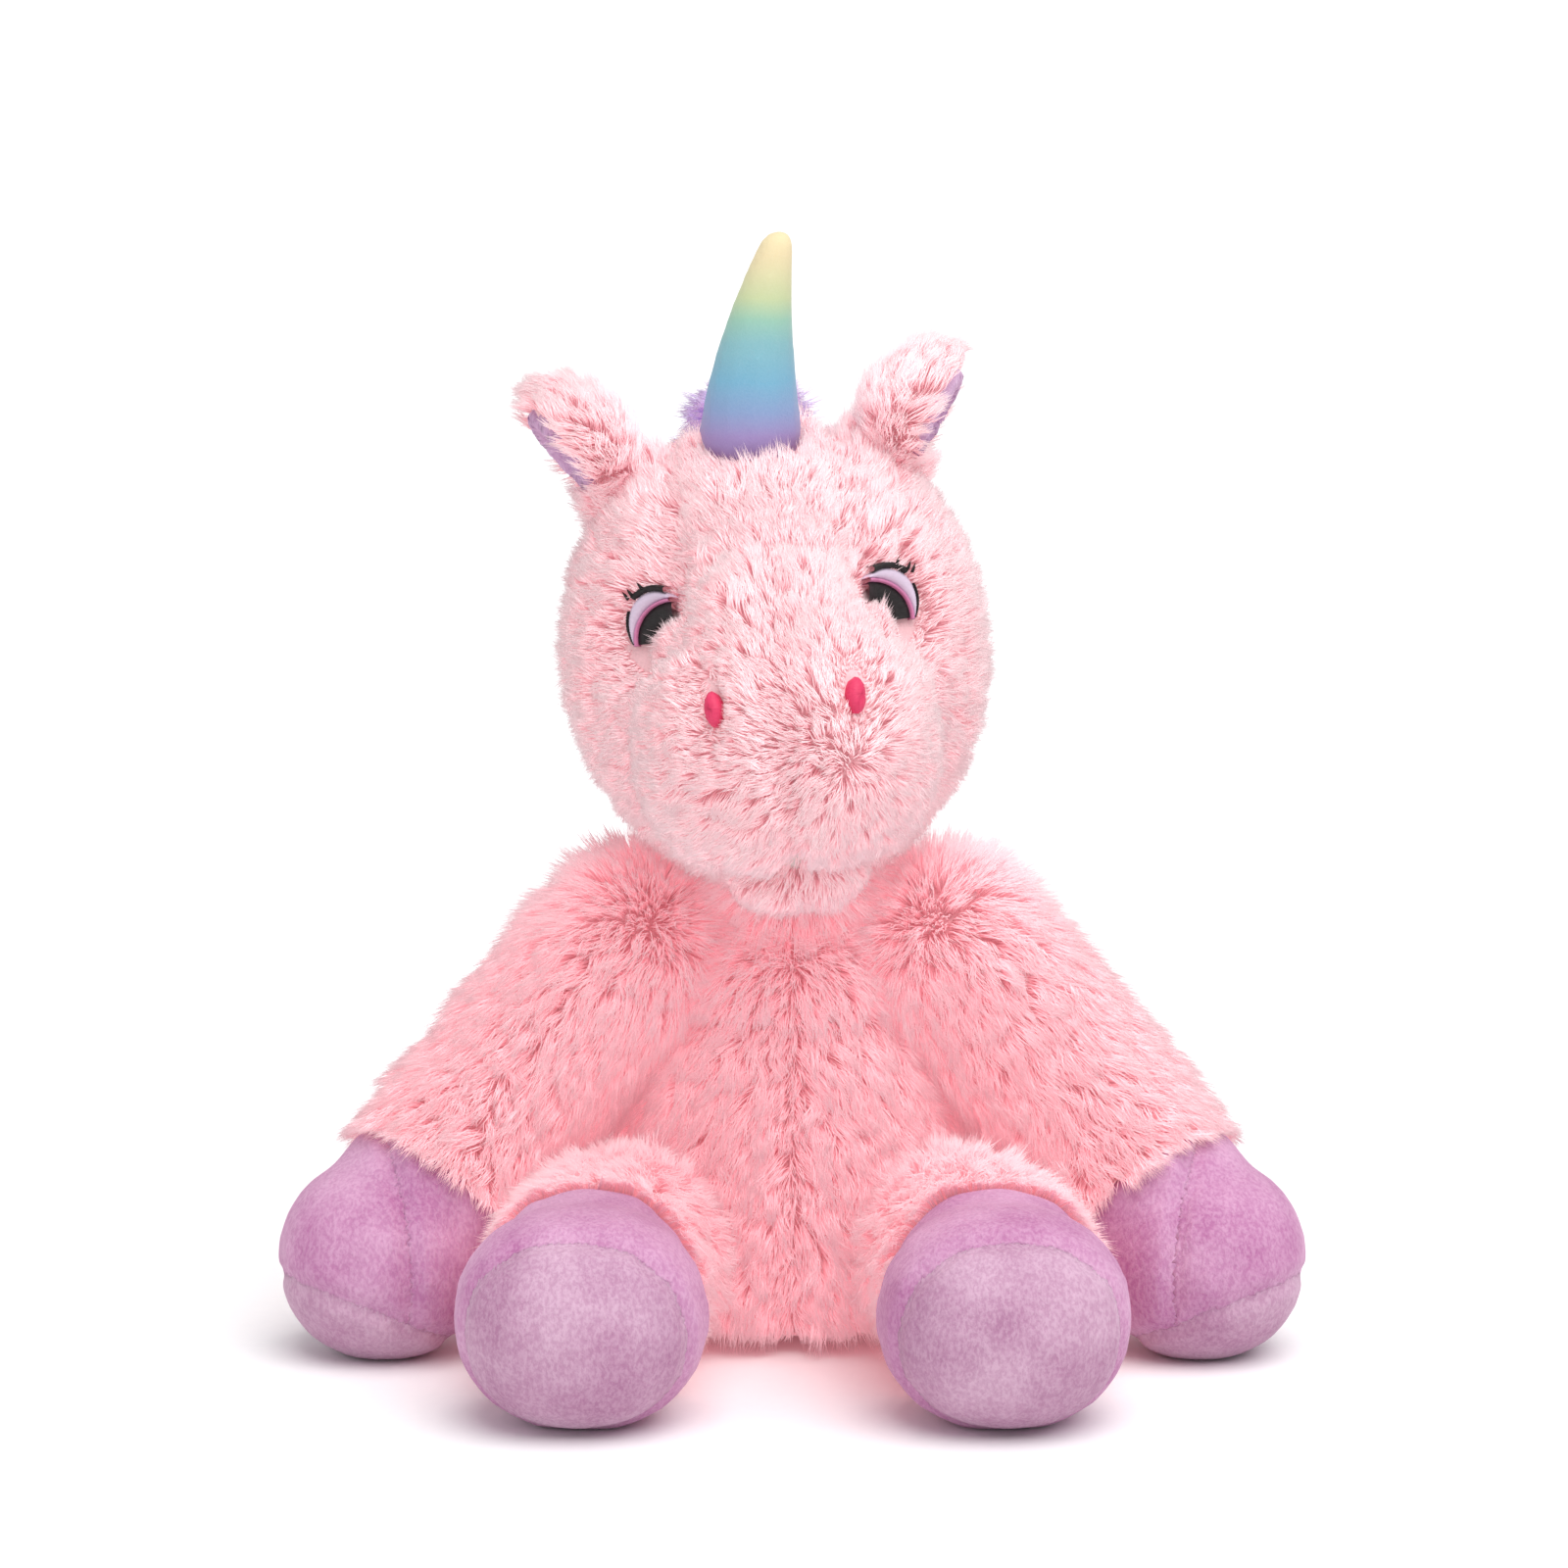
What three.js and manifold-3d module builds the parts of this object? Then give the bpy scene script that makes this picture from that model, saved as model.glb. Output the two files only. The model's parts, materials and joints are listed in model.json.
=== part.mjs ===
// A seated plush unicorn: fur-fabric panels sewn over stuffing, with velvety hooves, horn and ear linings.
// Millimetres, +Z up. The toy faces -Y and sits on the plane z = 0; its own left is +X.
import * as THREE from 'three';
import { ConvexGeometry } from 'three/addons/geometries/ConvexGeometry.js';
import { mergeVertices } from 'three/addons/utils/BufferGeometryUtils.js';
import Module from 'manifold-3d';

const wasm = await Module();
wasm.setup();

// ---------------------------------------------------------------- driving dimensions

const FUR_WALL = 4; // long pile on its knitted backing
const PLUSH_WALL = 1.6; // short-pile velour of the hooves, horn and ear linings
const SEAM_GAP = 0.3; // between panels that are sewn edge to edge
const FILL_GAP = 0.5; // between a panel and the stuffing under it
const JOINT_GAP = 1.5; // all round a limb's root
const PATCH = 0.7; // raised thread of an embroidered eye or nostril
const FAR = 400; // larger than the toy

const TORSO = {
  height: 120,
  seatRadius: 38,
  seatBulge: 2, // how far the seat's edge stands out of a straight line to the hips
  hipRadius: 49,
  hipHeight: 26,
  bellyRadius: 45,
  bellyHeight: 54,
  chestRadius: 34,
  chestDrop: 28, // below the torso's top, as are the two others
  collarRadius: 25,
  collarDrop: 8,
  depthShare: 0.9, // front to back, as a share of side to side
  centreY: -2,
  yokeDrop: 32, // to the seam between chest and belly
  sideSeamY: -15,
  seatSeam: 5,
  beanBagRadius: 27,
  beanBagHeight: 13, // half of its full height
  beanBagBack: 4, // behind the torso's middle
};

const NECK_RISE = 2; // from the torso's top to the neck's middle
const NECK = { pivot: [0, -6, TORSO.height + NECK_RISE], radius: 17 };

const HEAD = {
  roll: -5.5, // degrees, its left side held higher
  turn: 2.5, // degrees towards its left
  skull: { radii: [54.5, 50, 62], centre: [1, -14, 66] },
  muzzle: { radii: [38, 41, 35], centre: [0, -63, 50], squareness: 0.86 },
  bridge: { radii: [29, 34, 31], centre: [0, -53, 73], squareness: 0.95 },
  chin: { radii: [25, 22, 17], centre: [0, -65, 24], squareness: 0.9 },
  muzzleSeamY: -57,
  muzzleSeamTilt: 0.12, // that seam's slope, rise over run
  backSeamY: -8,
  gussetHalfWidth: 21,
  gussetLow: 88,
  mouthSeam: 18,
};

const EYE = { halfWidth: 8, halfHeight: 9, x: 32, z: 83, lean: 10 };
const NOSTRIL = { halfWidth: 2.2, halfHeight: 4.6, x: 17.5, z: 65 };
const MANE = { halfWidth: 11, rise: 8, low: 32 };

const HORN = {
  around: -1.1, // degrees from the skull's top towards its left side
  y: -26,
  baseRadius: 13.2,
  tipRadius: 3.4,
  length: 53,
  taper: 1.15, // above 1, the lower part stays thick for longer
  bend: 7.5, // sideways drift of the tip
  lean: 8, // degrees forward
  upright: 5.5, // degrees that undo the head's roll
};

const EAR = {
  around: 37.4,
  y: -10,
  sink: 2, // of its root below the skull's surface
  rootRadius: 8,
  radii: [16, 9.5, 15],
  reach: 16.5, // from the root to the middle of the ear
  cupDepth: 5,
  splay: 42, // degrees out from straight up
  twist: 80, // degrees that the opening turns outwards
};

const SHOULDER = { rootRadius: 23.5, y: -8, drop: 15 }; // drop is below the torso's top
const FRONT_HOOF = { radii: [27.5, 26, 25.5], out: 67, forward: 29 };
const HIND_HOOF = { radii: [31.5, 28, 27], out: 10, forward: 70, floorGap: 0.5 };

const FRONT_LEG = {
  pivot: [NECK.radius + JOINT_GAP + SHOULDER.rootRadius, SHOULDER.y, TORSO.height - SHOULDER.drop],
  rootRadius: SHOULDER.rootRadius,
  wristRadius: 24,
  cuff: 24.9, // from where fur meets hoof to the hoof's middle, along the leg
  hoof: [FRONT_HOOF.out, -FRONT_HOOF.forward, FRONT_HOOF.radii[2] - TORSO.height + SHOULDER.drop],
  hoofRadii: FRONT_HOOF.radii,
  bow: [1, 7, 1], // how far the middle of the leg stands off the straight line
  soleAxis: [0.36, -0.22, -0.9],
  sleeveSeam: [1, 0, 0.55], // what the sleeve's outer panel faces
  hoofSeam: [1, -0.35, 0], // what the hoof's outer panel faces
  soleSeam: 13, // along that axis, from the middle of the hoof
  swing: [-30, 90],
  spread: [-2, 32],
};

const HIND_LEG = {
  pivot: [44, -34, HIND_HOOF.radii[2] + HIND_HOOF.floorGap],
  rootRadius: 24.5,
  wristRadius: 26,
  cuff: 26.9,
  hoof: [HIND_HOOF.out, -HIND_HOOF.forward, 0], // from the pivot, as a front leg's is
  hoofRadii: HIND_HOOF.radii,
  bow: [2, 0, 1],
  soleAxis: [0.06, -0.99, -0.1],
  sleeveSeam: [1, 0, 0],
  soleSeam: 13,
  swing: [-25, 32],
  spread: [-8, 15],
};

// Shares of a limb's own radii that round off its two ends.
const LIMB_SHAPE = { root: 0.7, cuff: 0.92, cuffSetback: 0.3, hoofSquareness: 0.92 };

const TAIL = { pivot: [0, 44, 36], rootRadius: 7.5, reach: 21, radii: [9, 18, 11], droop: 28 };

// Columns and rows of the round forms: few, because the sewn surface is soft anyway.
const DETAIL = {
  fine: [18, 11],
  muzzle: [16, 10],
  small: [12, 8],
  coarse: [10, 7],
  ball: [14, 8],
  limb: 12,
  fill: 8,
  horn: [0, 0.2, 0.4, 0.6, 0.8, 0.94], // heights of the horn's rings, as shares of its length
};

const COLOURS = {
  bodyFur: 0xf5a2ac,
  headFur: 0xf7bcc4,
  velour: 0xcf9ad6,
  sole: 0xd9b0de,
  maneFur: 0xb98ce8,
  lining: 0xc9a0d8,
  horn: 0x7ab6d6,
  eye: 0x2a1e20,
  nostril: 0xee3868,
  stuffing: 0xf2efe8,
  beans: 0xe6dfd0,
};

// ---------------------------------------------------------------- solids

function toSolid(geometry) {
  const bare = geometry.clone();
  bare.deleteAttribute('normal');
  bare.deleteAttribute('uv');
  const welded = mergeVertices(bare, 1e-4);
  const mesh = new wasm.Mesh({
    numProp: 3,
    vertProperties: new Float32Array(welded.attributes.position.array),
    triVerts: new Uint32Array(welded.index.array),
  });
  return new wasm.Manifold(mesh);
}

function toGeometry(solid) {
  const mesh = solid.getMesh();
  const geometry = new THREE.BufferGeometry();
  geometry.setAttribute('position', new THREE.BufferAttribute(mesh.vertProperties, 3));
  geometry.setIndex(new THREE.BufferAttribute(mesh.triVerts, 1));
  geometry.computeVertexNormals();
  return geometry;
}

// An egg, or with squareness below 1 a plumper cushion, grown or shrunk by its inset.
function egg({ radii, centre = [0, 0, 0], squareness = 1 }, inset = 0, [columns, rows] = DETAIL.fine) {
  const geometry = new THREE.SphereGeometry(1, columns, rows).rotateX(Math.PI / 2);
  const position = geometry.attributes.position;
  for (let i = 0; i < position.count; i += 1) {
    const unit = [position.getX(i), position.getY(i), position.getZ(i)];
    const plump = unit.map((u) => Math.sign(u) * Math.abs(u) ** squareness);
    position.setXYZ(i, ...plump.map((u, k) => u * (radii[k] - inset) + centre[k]));
  }
  return toSolid(geometry);
}

function ball(radius, centre = [0, 0, 0]) {
  return egg({ radii: [radius, radius, radius], centre }, 0, DETAIL.ball);
}

// A round body turned from a smooth profile of [radius, height] points, its axis on Z.
function turned(points, steps, columns) {
  const curve = new THREE.SplineCurve(points.map(([r, z]) => new THREE.Vector2(r, z)));
  const outline = curve.getPoints(steps).map((p) => new THREE.Vector2(Math.max(p.x, 0), p.y));
  outline[0].x = 0;
  outline[outline.length - 1].x = 0;
  return new THREE.LatheGeometry(outline, columns).rotateX(Math.PI / 2);
}

// Everything beyond a plane through a point, on the side that the direction faces.
function beyond(point, direction) {
  const box = new THREE.BoxGeometry(FAR, FAR, FAR).translate(0, 0, FAR / 2);
  const facing = new THREE.Quaternion().setFromUnitVectors(
    new THREE.Vector3(0, 0, 1),
    new THREE.Vector3(...direction).normalize(),
  );
  box.applyQuaternion(facing);
  return toSolid(box.translate(...point));
}

// Both sides of a plane with half a seam taken from each: [the side it faces, the other side].
function parted(solid, point, direction) {
  const normal = new THREE.Vector3(...direction).normalize();
  return [1, -1].map((side) => {
    const away = normal.clone().multiplyScalar(side);
    const start = new THREE.Vector3(...point).addScaledVector(away, SEAM_GAP / 2);
    return solid.intersect(beyond(start.toArray(), away.toArray()));
  });
}

// The upright strip about the middle of the head, above a height.
function strip(halfWidth, low) {
  return beyond([-halfWidth, 0, 0], [1, 0, 0])
    .intersect(beyond([halfWidth, 0, 0], [-1, 0, 0]))
    .intersect(beyond([0, 0, low], [0, 0, 1]));
}

function mirrored(side, [x, y, z]) {
  return [side * x, y, z];
}

function node(name, solid, color, roughness = 0.95) {
  const material = new THREE.MeshStandardMaterial({ color, roughness, metalness: 0 });
  const mesh = new THREE.Mesh(toGeometry(solid), material);
  mesh.name = name;
  return mesh;
}

const group = new THREE.Group();

// ---------------------------------------------------------------- limbs

// A limb's middle line: a bowed curve from its pivot to the middle of its hoof.
function limbLine(limb, side) {
  const end = new THREE.Vector3(...mirrored(side, limb.hoof));
  const middle = end.clone().multiplyScalar(0.5).add(new THREE.Vector3(...mirrored(side, limb.bow)));
  return new THREE.CatmullRomCurve3([new THREE.Vector3(), middle, end]);
}

// The furry tube of a limb, with a round root about its pivot, laid along its middle line.
function limbTube(limb, side, inset, columns) {
  const line = limbLine(limb, side);
  const length = line.getLength();
  const root = limb.rootRadius - inset;
  const wrist = limb.wristRadius - inset;
  const profile = [
    [0, -root],
    [root * LIMB_SHAPE.root, -root * LIMB_SHAPE.root],
    [root, 0],
    [(root + wrist) / 2, (length - limb.cuff) / 2],
    [wrist, length - limb.cuff],
    [wrist * LIMB_SHAPE.cuff, length - wrist * LIMB_SHAPE.cuffSetback],
    [0, length],
  ];
  const geometry = turned(profile, columns, columns);
  const position = geometry.attributes.position;
  const aim = new THREE.Quaternion();
  for (let i = 0; i < position.count; i += 1) {
    const along = position.getZ(i);
    const share = Math.min(Math.max(along / length, 0), 1);
    const tangent = line.getTangentAt(share);
    aim.setFromUnitVectors(new THREE.Vector3(0, 0, 1), tangent);
    const point = new THREE.Vector3(position.getX(i), position.getY(i), 0).applyQuaternion(aim);
    point.add(line.getPointAt(share)).addScaledVector(tangent, along - share * length);
    position.setXYZ(i, point.x, point.y, point.z);
  }
  return toSolid(geometry);
}

// The whole leg: its tube and the hoof that it runs into.
function limbForm(limb, side, inset, coarse = false) {
  const centre = mirrored(side, limb.hoof);
  const hoof = { radii: limb.hoofRadii, centre, squareness: LIMB_SHAPE.hoofSquareness };
  const tube = limbTube(limb, side, inset, coarse ? DETAIL.fill : DETAIL.limb);
  return tube.add(egg(hoof, inset, coarse ? DETAIL.coarse : DETAIL.small));
}

// What the torso leaves free for a limb: the hull of its tube at both ends and the middle of its swing.
function limbRelief(limb, side) {
  const root = toGeometry(limbTube(limb, side, -JOINT_GAP, DETAIL.fill)).attributes.position;
  const points = [];
  for (const share of [0, 0.5, 1]) {
    for (const spread of limb.spread) {
      const swing = THREE.MathUtils.lerp(...limb.swing, share);
      const turn = limbPose(limb, side, swing, spread);
      for (let k = 0; k < root.count; k += 1) {
        const point = new THREE.Vector3(root.getX(k), root.getY(k), root.getZ(k));
        points.push(point.applyQuaternion(turn).add(new THREE.Vector3(...mirrored(side, limb.pivot))));
      }
    }
  }
  return toSolid(new ConvexGeometry(points));
}

// A front leg spreads about the toy's fore-and-aft axis, a hind leg about the upright one.
function limbPose(limb, side, swing, spread) {
  const swingAxis = new THREE.Vector3(-1, 0, 0);
  const spreadAxis = limb === FRONT_LEG ? new THREE.Vector3(0, -side, 0) : new THREE.Vector3(0, 0, side);
  const swung = new THREE.Quaternion().setFromAxisAngle(swingAxis, THREE.MathUtils.degToRad(swing));
  const splayed = new THREE.Quaternion().setFromAxisAngle(spreadAxis, THREE.MathUtils.degToRad(spread));
  return swung.multiply(splayed);
}

// Where fur meets hoof: a point on the limb's middle line and the line's direction there.
function wristCut(limb, side) {
  const line = limbLine(limb, side);
  const share = 1 - limb.cuff / line.getLength();
  return [line.getPointAt(share).toArray(), line.getTangentAt(share).toArray()];
}

function sleevePanels(limb, side, name, socket) {
  const skin = limbForm(limb, side, 0).subtract(limbForm(limb, side, FUR_WALL, true)).subtract(socket);
  const sleeve = parted(skin, ...wristCut(limb, side))[1];
  const middle = limbLine(limb, side).getPointAt(0.5).toArray();
  const [outer, inner] = parted(sleeve, middle, mirrored(side, limb.sleeveSeam));
  return [
    node(`${name}_sleeve_outer`, outer, COLOURS.bodyFur),
    node(`${name}_sleeve_inner`, inner, COLOURS.bodyFur),
  ];
}

function hoofPanels(limb, side, name) {
  const skin = limbForm(limb, side, 0).subtract(limbForm(limb, side, PLUSH_WALL));
  const hoof = parted(skin, ...wristCut(limb, side))[0];
  const axis = new THREE.Vector3(...mirrored(side, limb.soleAxis)).normalize();
  const solePoint = new THREE.Vector3(...mirrored(side, limb.hoof)).addScaledVector(axis, limb.soleSeam);
  const [sole, upper] = parted(hoof, solePoint.toArray(), axis.toArray());
  const soleNode = node(`${name}_hoof_sole`, sole, COLOURS.sole, 0.8);
  if (!limb.hoofSeam) {
    return [soleNode, node(`${name}_hoof_upper`, upper, COLOURS.velour, 0.8)];
  }
  const [outer, inner] = parted(upper, mirrored(side, limb.hoof), mirrored(side, limb.hoofSeam));
  return [
    soleNode,
    node(`${name}_hoof_outer`, outer, COLOURS.velour, 0.8),
    node(`${name}_hoof_inner`, inner, COLOURS.velour, 0.8),
  ];
}

function limbStuffing(limb, side, name, socket) {
  const [wrist, axis] = wristCut(limb, side);
  const pastWrist = new THREE.Vector3(...wrist).addScaledVector(new THREE.Vector3(...axis), FILL_GAP);
  const sleeveFill = limbForm(limb, side, FUR_WALL + FILL_GAP, true).subtract(socket);
  const hoofFill = limbForm(limb, side, PLUSH_WALL + FILL_GAP).intersect(beyond(pastWrist.toArray(), axis));
  return node(`${name}_stuffing`, sleeveFill.add(hoofFill), COLOURS.stuffing);
}

// One leg: sleeve and hoof panels over one stuffing, on a ball of stuffing at its root.
function makeLimb(limb, side, name, rootName) {
  const leg = new THREE.Group();
  leg.position.set(...mirrored(side, limb.pivot));
  const socket = ball(limb.rootRadius + JOINT_GAP);
  leg.add(
    node(rootName, ball(limb.rootRadius), COLOURS.stuffing),
    ...sleevePanels(limb, side, name, socket),
    limbStuffing(limb, side, name, socket),
    ...hoofPanels(limb, side, name),
  );
  group.add(leg);
}

for (const [side, word] of [[1, 'left'], [-1, 'right']]) {
  makeLimb(FRONT_LEG, side, `front_leg_${word}`, `shoulder_fill_${word}`);
  makeLimb(HIND_LEG, side, `hind_leg_${word}`, `hip_fill_${word}`);
}

// ---------------------------------------------------------------- torso

function torsoForm(inset, steps = 12, columns = DETAIL.fine[0]) {
  const profile = [
    [TORSO.seatRadius, 0],
    [(TORSO.seatRadius + TORSO.hipRadius) / 2 + TORSO.seatBulge, TORSO.seatSeam],
    [TORSO.hipRadius, TORSO.hipHeight],
    [TORSO.bellyRadius, TORSO.bellyHeight],
    [TORSO.chestRadius, TORSO.height - TORSO.chestDrop],
    [TORSO.collarRadius, TORSO.height - TORSO.collarDrop],
    [0, TORSO.height],
  ];
  const curve = new THREE.SplineCurve(profile.map(([r, z]) => new THREE.Vector2(r, z)));
  const squeeze = (TORSO.height - 2 * inset) / TORSO.height;
  const shrunk = (p) => new THREE.Vector2(Math.max(p.x - inset, 0), inset + p.y * squeeze);
  const outline = curve.getPoints(steps).map(shrunk);
  outline[steps].x = 0;
  outline.unshift(new THREE.Vector2(0, inset));
  const geometry = new THREE.LatheGeometry(outline, columns).rotateX(Math.PI / 2);
  geometry.scale(1, TORSO.depthShare, 1).translate(0, TORSO.centreY, 0);
  return toSolid(geometry);
}

// What has to stay out of the torso: the neck, the tail root and the sweep of all four legs.
function torsoSockets() {
  let sockets = ball(NECK.radius + JOINT_GAP, NECK.pivot).add(ball(TAIL.rootRadius + JOINT_GAP, TAIL.pivot));
  for (const side of [1, -1]) {
    for (const limb of [FRONT_LEG, HIND_LEG]) {
      const socket = ball(limb.rootRadius + JOINT_GAP, mirrored(side, limb.pivot));
      sockets = sockets.add(socket).add(limbRelief(limb, side));
    }
  }
  return sockets;
}

function makeTorso() {
  const sockets = torsoSockets();
  const inner = torsoForm(FUR_WALL, DETAIL.coarse[0], DETAIL.coarse[0]);
  const skin = torsoForm(0).subtract(inner).subtract(sockets);
  const [body, seat] = parted(skin, [0, 0, TORSO.seatSeam], [0, 0, 1]);
  const [back, front] = parted(body, [0, TORSO.sideSeamY, 0], [0, 1, 0]);
  const [yoke, belly] = parted(front, [0, 0, TORSO.height - TORSO.yokeDrop], [0, 0, 1]);
  const [backLeft, backRight] = parted(back, [0, 0, 0], [1, 0, 0]);
  const [bellyLeft, bellyRight] = parted(belly, [0, 0, 0], [1, 0, 0]);
  group.add(
    node('chest_yoke', yoke, COLOURS.bodyFur),
    node('belly_left', bellyLeft, COLOURS.bodyFur),
    node('belly_right', bellyRight, COLOURS.bodyFur),
    node('back_left', backLeft, COLOURS.bodyFur),
    node('back_right', backRight, COLOURS.bodyFur),
    node('seat_panel', seat, COLOURS.bodyFur),
  );
}

// The torso's stuffing, with a bag of beans that weighs the seat down.
function makeTorsoFilling() {
  const bag = {
    radii: [TORSO.beanBagRadius, TORSO.beanBagRadius * TORSO.depthShare, TORSO.beanBagHeight],
    centre: [0, TORSO.centreY + TORSO.beanBagBack, FUR_WALL + FILL_GAP + TORSO.beanBagHeight],
  };
  const fill = torsoForm(FUR_WALL + FILL_GAP, DETAIL.coarse[0], DETAIL.coarse[0])
    .subtract(torsoSockets())
    .subtract(egg(bag, -FILL_GAP, DETAIL.coarse));
  group.add(
    node('torso_stuffing', fill, COLOURS.stuffing),
    node('seat_bean_bag', egg(bag, 0, DETAIL.coarse), COLOURS.beans),
  );
}

function makeTail() {
  const tail = new THREE.Group();
  tail.position.set(...TAIL.pivot);
  tail.rotation.x = THREE.MathUtils.degToRad(-TAIL.droop);
  const tuft = egg({ radii: TAIL.radii, centre: [0, TAIL.reach, 0] }, 0, DETAIL.coarse);
  tail.add(node('tail', tuft.add(ball(TAIL.rootRadius)), COLOURS.maneFur));
  group.add(tail);
}

makeTorso();
makeTorsoFilling();
makeTail();

// ---------------------------------------------------------------- head

const head = new THREE.Group();
head.position.set(...NECK.pivot);
head.rotation.set(0, THREE.MathUtils.degToRad(HEAD.roll), THREE.MathUtils.degToRad(HEAD.turn), 'ZYX');
group.add(head);

function headForm(inset, coarse = false) {
  const sizes = [DETAIL.fine, DETAIL.muzzle, DETAIL.small, DETAIL.small];
  const lumps = [HEAD.skull, HEAD.muzzle, HEAD.bridge, HEAD.chin];
  const eggs = lumps.map((lump, i) => egg(lump, inset, coarse ? DETAIL.coarse : sizes[i]));
  return eggs.reduce((a, b) => a.add(b));
}

// A flat oval pin that picks a patch of the head's face, looking along Y.
function ovalPin({ x, z, halfWidth, halfHeight, lean = 0 }, side) {
  const pin = new THREE.CylinderGeometry(1, 1, FAR / 2, 18).scale(halfWidth, 1, halfHeight);
  pin.rotateY(THREE.MathUtils.degToRad(-side * lean));
  return toSolid(pin.translate(side * x, -FAR / 4 + HEAD.backSeamY, z));
}

function facePatch(oval, side) {
  const film = headForm(-SEAM_GAP - PATCH).subtract(headForm(-SEAM_GAP));
  return film.intersect(ovalPin(oval, side));
}

// A point on the skull, by degrees from its top towards its left side and by its depth.
function onSkull({ around, y }) {
  const { radii, centre } = HEAD.skull;
  const ring = Math.sqrt(1 - ((y - centre[1]) / radii[1]) ** 2);
  const turn = THREE.MathUtils.degToRad(around);
  return [centre[0] + radii[0] * ring * Math.sin(turn), y, centre[2] + radii[2] * ring * Math.cos(turn)];
}

function earBase(side) {
  const [x, y, z] = onSkull(EAR);
  return mirrored(side, [x, y, z - EAR.sink]);
}

function earTurn(side) {
  const [splay, twist] = [EAR.splay, EAR.twist].map((angle) => THREE.MathUtils.degToRad(side * angle));
  return new THREE.Euler(0, splay, twist, 'YZX');
}

// The ear's leaf on its round root, grown all round.
function earForm(grow = 0) {
  const leaf = { radii: EAR.radii, centre: [0, 0, EAR.reach] };
  return egg(leaf, -grow, DETAIL.coarse).add(ball(EAR.rootRadius + grow));
}

function placedEar(side, solid) {
  const place = new THREE.Matrix4().makeRotationFromEuler(earTurn(side)).setPosition(...earBase(side));
  return solid.transform(place.elements);
}

// Room in the head for the neck and for the roots of the horn and the ears.
function headSockets() {
  return ball(NECK.radius + JOINT_GAP)
    .add(ball(HORN.baseRadius + 2 * JOINT_GAP, onSkull(HORN)))
    .add(placedEar(1, earForm(JOINT_GAP)))
    .add(placedEar(-1, earForm(JOINT_GAP)));
}

function makeHead() {
  const sockets = headSockets();
  const skin = headForm(0).subtract(headForm(FUR_WALL, true)).subtract(sockets);
  const [rear, front] = parted(skin, [0, HEAD.muzzleSeamY, 0], [0, 1, HEAD.muzzleSeamTilt]);
  const [muzzle, chin] = parted(front, [0, 0, HEAD.mouthSeam], [0, 0, 1]);
  const [muzzleLeft, muzzleRight] = parted(muzzle, [0, 0, 0], [1, 0, 0]);
  const [back, face] = parted(rear, [0, HEAD.backSeamY, 0], [0, 1, 0]);
  const [backLeft, backRight] = parted(back, [0, 0, 0], [1, 0, 0]);
  const gusset = face.intersect(strip(HEAD.gussetHalfWidth, HEAD.gussetLow));
  const cheeks = face.subtract(strip(HEAD.gussetHalfWidth + SEAM_GAP, HEAD.gussetLow - SEAM_GAP));
  const [cheekLeft, cheekRight] = parted(cheeks, [0, 0, 0], [1, 0, 0]);
  const stuffing = headForm(FUR_WALL + FILL_GAP, true).subtract(sockets);
  head.add(
    node('forehead_gusset', gusset, COLOURS.headFur),
    node('cheek_left', cheekLeft, COLOURS.headFur),
    node('cheek_right', cheekRight, COLOURS.headFur),
    node('head_back_left', backLeft, COLOURS.headFur),
    node('head_back_right', backRight, COLOURS.headFur),
    node('muzzle_left', muzzleLeft, COLOURS.headFur),
    node('muzzle_right', muzzleRight, COLOURS.headFur),
    node('chin_panel', chin, COLOURS.headFur),
    node('head_stuffing', stuffing, COLOURS.stuffing),
  );
}

function makeFace() {
  for (const [side, word] of [[1, 'left'], [-1, 'right']]) {
    head.add(
      node(`eye_${word}`, facePatch(EYE, side), COLOURS.eye, 0.6),
      node(`nostril_${word}`, facePatch(NOSTRIL, side), COLOURS.nostril, 0.6),
    );
  }
}

// A strip of long hair that starts behind the horn's root.
function makeMane() {
  const front = HORN.y + HORN.baseRadius + 3 * JOINT_GAP;
  const hair = egg(HEAD.skull, -MANE.rise)
    .subtract(egg(HEAD.skull, -SEAM_GAP))
    .intersect(strip(MANE.halfWidth, MANE.low))
    .intersect(beyond([0, front, 0], [0, 1, 0]));
  head.add(node('mane', hair, COLOURS.maneFur));
}

// The horn's tapering, bent cone, shrunk by its inset.
function hornCone(inset) {
  const { baseRadius, tipRadius, taper } = HORN;
  const radius = (share) => THREE.MathUtils.lerp(baseRadius, tipRadius, share ** taper) - inset;
  const tip = HORN.length - inset;
  const outline = DETAIL.horn.map((share) => new THREE.Vector2(radius(share), share * tip));
  outline.unshift(new THREE.Vector2(0, 0));
  outline.push(new THREE.Vector2(radius(1) * 0.6, tip * 0.985), new THREE.Vector2(0, tip));
  const geometry = new THREE.LatheGeometry(outline, DETAIL.limb).rotateX(Math.PI / 2);
  const position = geometry.attributes.position;
  for (let i = 0; i < position.count; i += 1) {
    position.setX(i, position.getX(i) + HORN.bend * (position.getZ(i) / HORN.length) ** 2);
  }
  return toSolid(geometry);
}

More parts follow.
